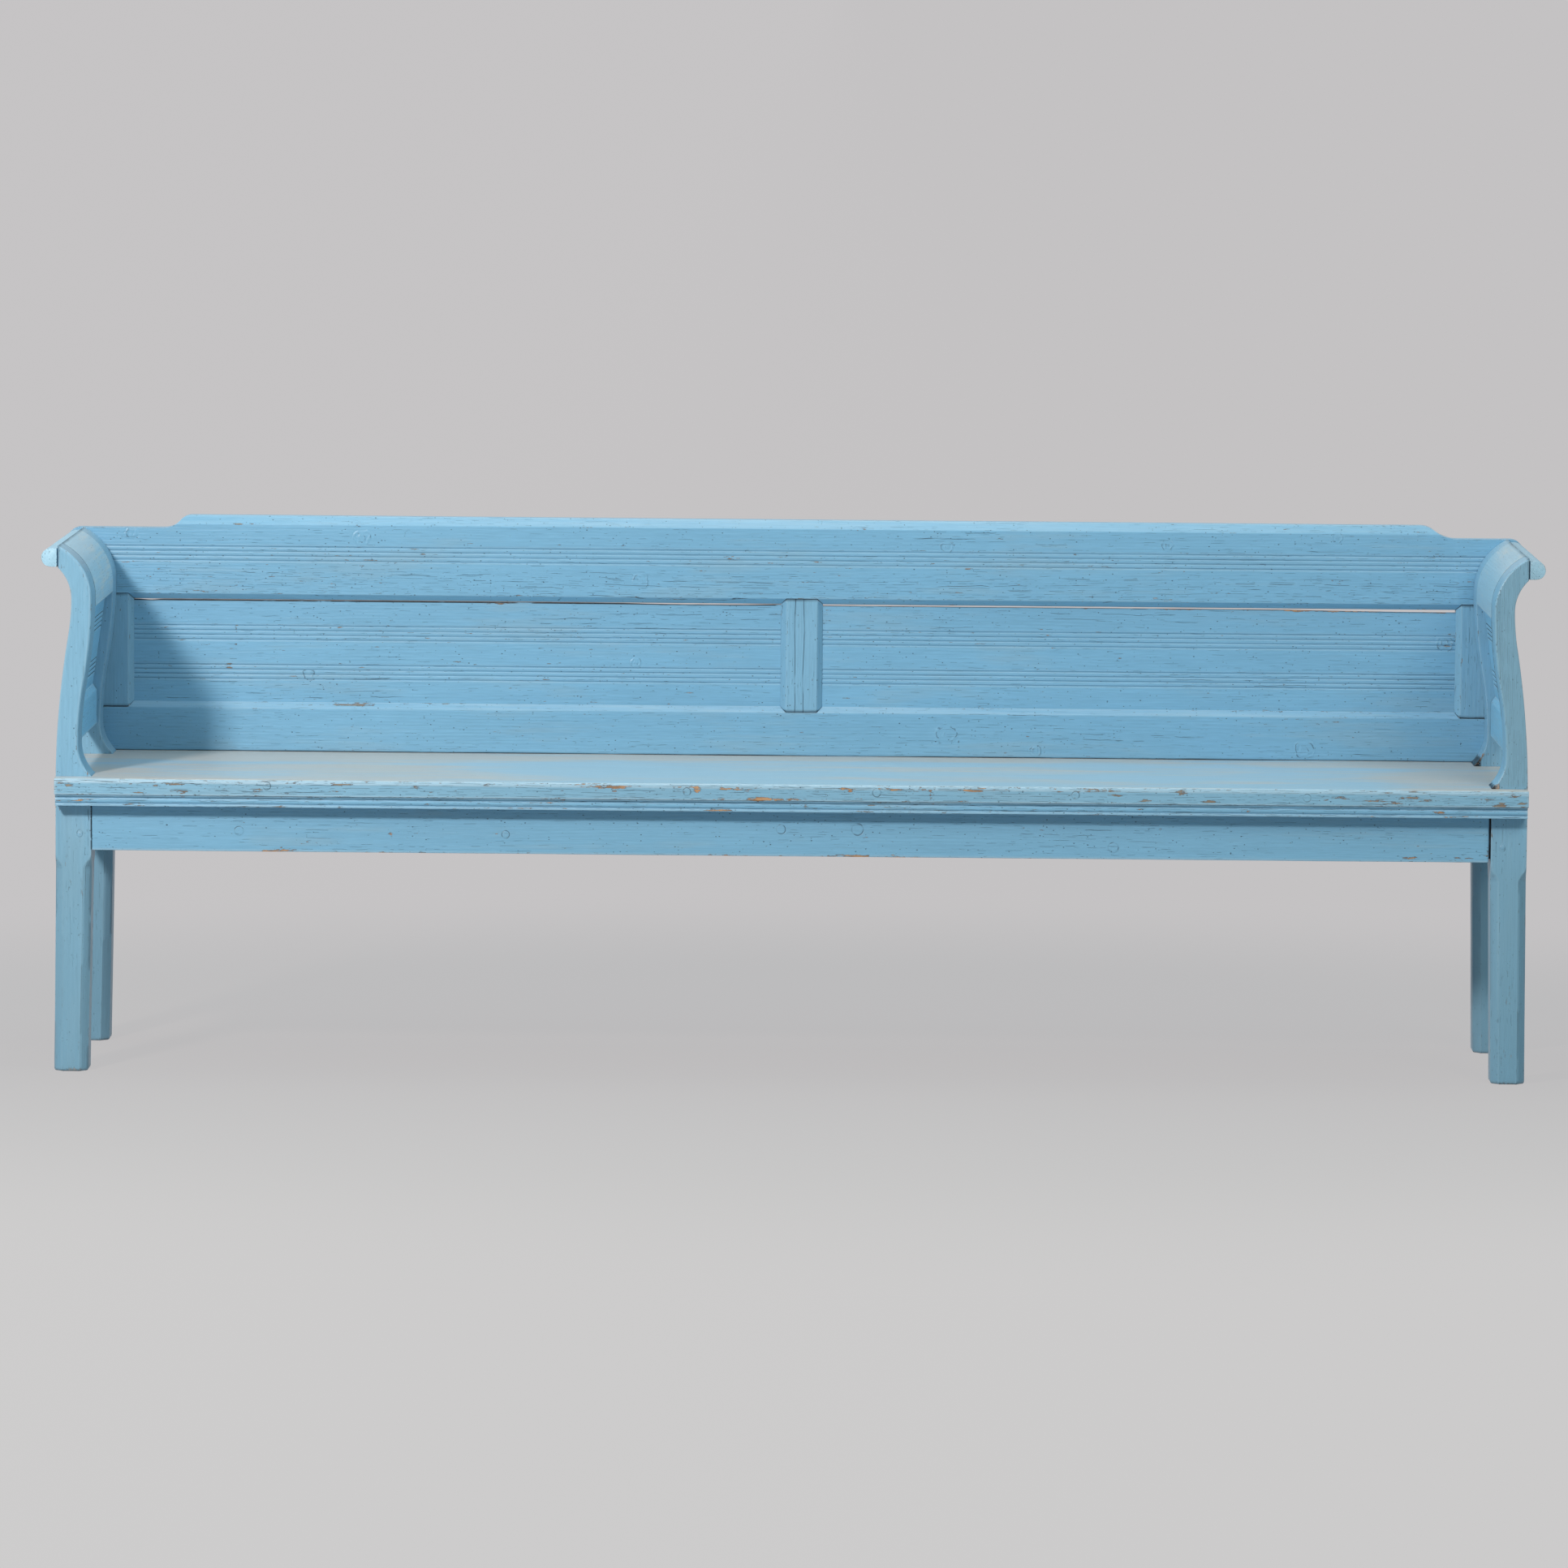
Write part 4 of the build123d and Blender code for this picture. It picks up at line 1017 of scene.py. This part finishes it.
def top_rail():
    """Top rail of the back: crest, chamfer, four grooves, lower chamfer, and the coves under its horns."""
    half = top_rail_high[0]
    corner = [half - top_rail_corner * (1 - sin(radians(a))) for a in (0, 30, 50, 70, 82)]
    sides = [stile_outer, stile_outer + hairline, opening_half_length, opening_half_length + frame_chamfer,
             *corner]
    crest = [side * (crest_ends[side] + share * crest_runs[side])
             for side in (-1, 1) for share in np.linspace(0, 1, 13)]
    middle = [muntin_left, muntin_left + frame_chamfer, muntin_right - frame_chamfer, muntin_right]
    x = steps(-half, half, board_rows, *sides, *[-m for m in sides], *crest, *middle)
    top = crest_line(x)
    cove = horn_height + np.sqrt(np.clip(horn_cove ** 2 - (half - np.abs(x)) ** 2, 0, None))
    low = np.where(np.abs(x) > stile_outer + hairline / 2, cove, opening_top + bite(x))
    top_depth = np.clip((top - crest_height + crest_chamfer) / crest_chamfer, 0, 1) * crest_chamfer_depth
    low_depth = np.clip((flat_above - low) / frame_chamfer, 0, 1) * frame_chamfer_depth
    face = back_face
    section = stacked((face + top_depth, top), (face, np.minimum(crest_height - crest_chamfer, top - 1)),
                      *grooved(band(top_rail_band), face),
                      (face, np.maximum(flat_above, low + 1)), (face + low_depth, low),
                      (bench_back, low), (bench_back, top))
    plank("crest_rail", along(X, x, section), 0.8, boards_blue, "back_top_rail", ends=(0.3, 0.3),
          joined=(False, False), seed=71, places=marks["top_rail"], corner_rows=3, spacing=8.0, crease=0.42)


def bottom_rail():
    """Bottom rail of the back, with the chamfer along its top edge."""
    mitre = opening_half_length + frame_chamfer
    x = steps(-stile_outer, stile_outer, board_rows, -mitre, -opening_half_length, muntin_left,
              muntin_left + frame_chamfer, muntin_right - frame_chamfer, muntin_right,
              opening_half_length, mitre)
    top = opening_bottom - bite(x)
    depth = np.clip((top - flat_below) / frame_chamfer, 0, 1) * frame_chamfer_depth
    section = stacked((back_face + depth, top), (back_face, np.minimum(flat_below, top - 1)),
                      (back_face, seat_height), (bench_back, seat_height), (bench_back, top))
    plank("lower_back_rail", along(X, x, section), 1.0, boards_blue, "back_bottom_rail", ends=(0.3, 0.3),
          seed=81, places=marks["bottom_rail"], seams=(2,), spacing=8.0)


def uprights():
    """Muntin and stiles: their sides widen with the mitres, and their chamfers deepen with them."""
    slit = 0.5
    z = steps(flat_below + slit, flat_above - slit, 6.0, opening_bottom, opening_top)
    grow = np.clip(np.minimum(z - flat_below, flat_above - z), 0, frame_chamfer) - slit
    depth = back_face + frame_chamfer_depth * np.clip(grow, 0, None) / frame_chamfer
    middle = (muntin_left + muntin_right) / 2
    flat = (muntin_right - muntin_left) / 2 - frame_chamfer
    section = stacked((middle - flat - grow, depth), (middle - flat, back_face), (middle + flat, back_face),
                      (middle + flat + grow, depth), (middle + flat + grow, bench_back),
                      (middle - flat - grow, bench_back))
    plank("middle_muntin", along(Z, z, section), 1.0, posts_blue, "back_muntin", ends=(0.8, 0.8), seed=91,
          spacing=6.0)

    def stile(side, flip):
        flat_edge = opening_half_length + frame_chamfer
        section = stacked((flip * (flat_edge - grow), depth), (flip * flat_edge, back_face),
                          (flip * stile_outer, back_face), (flip * stile_outer, bench_back),
                          (flip * (flat_edge - grow), bench_back))
        plank("stile_" + side, along(Z, z, section), 1.0, posts_blue, "back_stile_" + side, ends=(0.8, 0.8),
              seed=95 + flip)
    both(stile)


def back_panels(side, flip):
    """Back panel with its two bands of grooves.  Its tongues run into the frame.

    Its top edge leaves a slit where the panel has shrunk: at the right it widens from 0.5 to 3.9 mm over the
    400 mm beyond x = 560, and at the left it has two bell-shaped wider places, at x = -150 and x = -1026.
    """
    node = "back_panel_" + side
    low, high = extent(node)
    x = steps(low[0], high[0], board_rows)
    if flip > 0:
        slit = 0.5 + 3.4 * np.clip((x - 560) / 400, 0, 1) ** 1.2
    else:
        slit = 0.4 + 1.4 * np.exp(-((x + 150) / 110) ** 4) + 1.5 * np.exp(-((x + 1026) / 14) ** 2)
    top = opening_top - slit
    heights = [height for middle in panel_bands for height in band(middle)]
    section = stacked((low[1], top), *grooved(heights, low[1]), (low[1], low[2]), (high[1], low[2]),
                      (high[1], top))
    plank("grooved_panel_" + side, along(X, x, section), tight, boards_blue, node, ends=(tight, tight),
          seed=101 + flip, places=marks[side + "_panel"], seams=(0,), corner_rows=3, spacing=8.0, crease=0.42)


def arm_tops(side, flip):
    """Arched board over the arm, between the same arcs as the posts' scrolls."""
    lip = arm_top_low[2] + np.array([0.0, 5.0, 10.0])
    turns = np.linspace(0, 1, 15)

    def edge(neck_x, scroll_z):
        scroll = scroll_arc(neck_x, scroll_z, turns)
        return np.concatenate([[neck_x] * len(lip), scroll[0]]), np.concatenate([lip, scroll[1]])

    slit = 0.25
    corners = board_between(edge(neck_inner, scroll_top),
                            edge(neck_inner + arm_board_thickness, scroll_bottom + arm_board_relief),
                            front_back + slit, rear_face - slit, flip)
    plank("arm_board_" + side, corners, tight, arm_top_blue, "arm_top_" + side, ends=(softness, softness),
          joined=(False, True), seed=111 + flip, spacing=8.0, seams=(0, 1, 2, 3))


def lean_x(z):
    """Inner face of the leaning arm panel at a height."""
    return arm_panel_mid_x - (z - arm_panel_mid_z) * np.tan(arm_panel_tilt)


def arm_panels(side, flip):
    """Leaning panel of an arm, its two bands of grooves cut square to its face."""
    low_z, high_z = arm_panel_low[2], arm_panel_high[2]
    across = arm_panel_thickness / cos(arm_panel_tilt)
    into = np.array((cos(arm_panel_tilt), sin(arm_panel_tilt)))
    up = np.array((-sin(arm_panel_tilt), cos(arm_panel_tilt)))
    corners = [(lean_x(high_z), high_z)]
    for middle in arm_panel_bands:
        for height in band(middle):
            on_face = np.array((lean_x(height), height))
            corners += [on_face + up * groove_width / 2, on_face + into * groove_depth,
                        on_face - up * groove_width / 2]
    corners += [(lean_x(low_z), low_z), (lean_x(low_z) + across, low_z), (lean_x(high_z) + across, high_z)]
    section = np.array(corners) * (flip, 1)
    y = steps(arm_panel_low[1], arm_panel_high[1], plain_rows)
    plank("arm_panel_board_" + side, along(Y, y, section), tight, arms_blue, "arm_panel_" + side,
          ends=(tight, tight), seed=121 + flip, corner_rows=3, crease=1.7)


def arm_rails(side, flip):
    """Bottom rail of an arm, and the half-round roll planted along the ends of the scrolls, its front end
    a little open."""
    section = np.array([(arm_rail_low[0], arm_rail_low[2]), (arm_rail_high[0], arm_rail_low[2]),
                        (arm_rail_high[0], arm_rail_high[2]), (lean_x(arm_rail_high[2]), arm_rail_high[2]),
                        (arm_rail_low[0], arm_rail_high[2] - arm_rail_chamfer)]) * (flip, 1)
    y = steps(front_back, rear_face, plain_rows)
    plank("arm_rail_" + side, along(Y, y, section), softness, arms_blue, "arm_bottom_rail_" + side,
          ends=(0.6, 0.6), seed=131 + flip)

    radius = (roll_high[2] - roll_low[2]) / 2
    centre_x, centre_z = roll_high[0] - radius, (roll_high[2] + roll_low[2]) / 2
    y = steps(roll_low[1], roll_high[1], 6.0)
    open_seam = scroll_end_x + 0.2 + 1.2 * np.exp(-(y - roll_low[1]) / 9)
    bow = [(flip * (centre_x + radius * cos(a)), centre_z + radius * sin(a))
           for a in np.linspace(-pi / 2, pi / 2, 10)]
    section = stacked((flip * open_seam, roll_low[2]), *bow, (flip * open_seam, roll_high[2]))
    cuts = np.full(section.shape[1], 1.5)
    cuts[[0, -1]] = 0.6
    plank("roll_" + side, along(Y, y, section), cuts, arm_top_blue, "arm_roll_" + side, ends=(0.7, 1.2),
          joined=(False, True), seed=141 + flip, seams=(0, 11), corner_rows=3)


def stud(tip, direction, radius, depth, dome, around=20):
    """Rings of a round stud that ends at a tip: a shank, then a dome that closes on an ellipse's quarter."""
    direction = np.array(direction, float)
    beside = np.roll(direction, 1)
    other = np.cross(direction, beside)
    angles = np.linspace(0, 2 * pi, around, endpoint=False)[:, None]
    circle = np.cos(angles) * beside + np.sin(angles) * other
    bends = np.linspace(0, pi / 2, 5)
    spans = [(-depth, radius), (-dome - 0.4, radius)] + [(-dome * (1 - sin(b)), radius * max(cos(b), 0.12))
                                                         for b in bends]
    rings = np.array([np.array(tip) + direction * back + circle * width for back, width in spans])
    dirt = np.array([0, 1, 0.7, 0.2, 0, 0, 0], float)[:, None] * np.ones(around)
    return rings, np.zeros(rings.shape[:2]), dirt


def studs():
    """Pegs of the aprons, the arms and the back, and the nails of the back, each kind in one piece."""
    proud, side_inset, length = 0.6, 14.0, 33.0
    arm_side_x, arm_peg_height, arm_peg_inset, arm_peg_length = 1135.2, 540.0, 12.0, 25.0
    nail_radius, nail_length, frame_peg_length, set_back = 5.4, 2.0, 24.0, 20.0
    apron, arm, nails = [], [], []
    for flip in (-1, 1):
        peg_x, side_x = flip * apron_peg_x, flip * (leg_outer + proud)
        for tip, outward, dome in (((peg_x, front_face - proud), (0, -1, 0), 0.7),
                                   ((peg_x, back_face), (0, 1, 0), 0.5),
                                   ((side_x, front_back - side_inset), (flip, 0, 0), 0.7),
                                   ((side_x, rear_face + side_inset), (flip, 0, 0), 0.7)):
            apron.append(stud((*tip, apron_peg_height), outward, peg_radius, length, dome))
        arm += [stud((flip * arm_side_x, y, arm_peg_height), (flip, 0, 0), peg_radius, arm_peg_length, 0.6)
                for y in (front_back - arm_peg_inset, rear_face + arm_peg_inset)]
        nails += [stud((flip * x, bench_back, z), (0, 1, 0), nail_radius, nail_length, 0.5, around=12)
                  for x, z in ((1115, 480), (1112, 580), (1104, 660), (1102, 765))]
    stile_middle = (opening_half_length + frame_chamfer + stile_outer) / 2
    frame_pegs = [stud((x, bench_back, z), (0, 1, 0), peg_radius, frame_peg_length, 0.5)
                  for x in (-stile_middle, (muntin_left + muntin_right) / 2, stile_middle)
                  for z in (flat_below - set_back, flat_above + set_back)]
    skin("apron_peg_heads", apron, ("apron_pegs",), peg_blue)
    skin("arm_peg_heads", arm, ("arm_pegs",), peg_blue)
    skin("frame_peg_heads", frame_pegs, ("frame_pegs",), peg_blue)
    skin("nail_heads", nails, ("back_nails",), nail_paint)


for build in (posts, back_panels, arm_tops, arm_panels, arm_rails):
    both(build)
for build in (seat, moulding, aprons, top_rail, bottom_rail, uprights, studs):
    build()


# ------------------------------------------------------------------ room, lamps and camera
backdrop_low, backdrop_high = srgb(204, 203, 203), srgb(196, 194, 195)


def room():
    """Pale floor, even in colour, that takes a part of its brightness from the lamps near the settle."""
    paint = Paint("studio_floor")
    distance = (paint.x * paint.x * 0.55 + paint.y * paint.y) ** 0.5
    away = distance.ramp(1100.0, 2300.0)
    colour = paint.blend(paint.y.ramp(300.0, -1800.0), backdrop_high, backdrop_low)
    colour = paint.shade(colour, 0.97 + away * 0.03 + paint.x.ramp(900.0, -1500.0) * 0.02)
    lit = paint.node("ShaderNodeBsdfDiffuse", None, {"Color": srgb(178, 176, 174)})[0]
    even = paint.node("ShaderNodeEmission", None, {"Color": colour, "Strength": 1.0})[0]
    mixed = paint.node("ShaderNodeMixShader", None, ((0.9 + away * 0.1) * paint.seen(), lit, even))[0]
    paint.node("ShaderNodeOutputMaterial", None, (mixed,))
    half = 600.0
    mesh = bpy.data.meshes.new("floor")
    corners = [(-half, -half, 0), (half, -half, 0), (half, half, 0), (-half, half, 0)]
    mesh.from_pydata(corners, [], [(0, 1, 2, 3)])
    mesh.materials.append(paint.material)
    floor = bpy.data.objects.new("floor", mesh)
    bpy.context.scene.collection.objects.link(floor)


def soft_light(name, place, target, size, power, colour):
    """A square lamp aimed at a target."""
    light = bpy.data.lights.new(name, "AREA")
    light.size, light.energy, light.color = size, power, colour
    lamp = bpy.data.objects.new(name, light)
    bpy.context.scene.collection.objects.link(lamp)
    lamp.location = place
    lamp.rotation_euler = (Vector(target) - Vector(place)).to_track_quat("-Z", "Y").to_euler()


def lights():
    """Three warm lamps, a key high on the front left, a weak one on the right and one overhead, in the cooler
    light of a pale room: an even level plus the heading's rise, squared."""
    middle, even, room_colour = (0.0, 0.0, 0.5), 0.05, (0.54, 0.95, 1.08, 1.0)
    soft_light("key", (-2.28, -3.21, 2.40), middle, size=0.4, power=136.0, colour=(1.0, 0.87, 0.80))
    soft_light("fill", (1.90, -2.20, 2.20), middle, size=1.0, power=24.0, colour=(1.0, 0.83, 0.70))
    soft_light("overhead", (0.0, 0.2, 3.4), middle, size=1.5, power=21.0, colour=(1.0, 0.9, 0.82))
    world = bpy.data.worlds.new("room_light")
    bpy.context.scene.world = world
    sky = Nodes(world)
    rise = sky.split(sky.node("ShaderNodeTexCoord")[0])[2].most(0.0)
    room_light = sky.node("ShaderNodeBackground", None, (room_colour, even + rise ** 2.0))[0]
    pale = sky.node("ShaderNodeBackground", None, (backdrop_high, 1.0))[0]
    mixed = sky.node("ShaderNodeMixShader", None, (sky.seen(), room_light, pale))[0]
    sky.node("ShaderNodeOutputWorld", None, (mixed,))


def camera():
    """Camera well in front of the settle, a little to the right and above it, looking slightly down."""
    place = Vector((0.0865, -12.7135, 1.7117))
    yaw, pitch, roll = -0.0078, 0.1000, 0.0083
    frame_pixels, focal_pixels, sensor = 1932.0, 10035.0, 36.0
    ahead = Vector((sin(yaw) * cos(pitch), cos(yaw) * cos(pitch), -sin(pitch)))
    level = Vector((cos(yaw), -sin(yaw), 0.0))
    upward = level.cross(ahead)
    right = level * cos(roll) + upward * sin(roll)
    upward = upward * cos(roll) - level * sin(roll)
    view = bpy.data.cameras.new("studio_camera")
    view.sensor_width = sensor
    view.lens = sensor * focal_pixels / frame_pixels
    view.clip_start, view.clip_end = 0.1, 2000.0
    stand = bpy.data.objects.new("studio_camera", view)
    bpy.context.scene.collection.objects.link(stand)
    turn = Matrix((right, upward, -ahead)).transposed()
    stand.matrix_world = Matrix.Translation(place) @ turn.to_4x4()
    bpy.context.scene.camera = stand


room()
lights()
camera()
bpy.context.scene.view_settings.view_transform = "Standard"
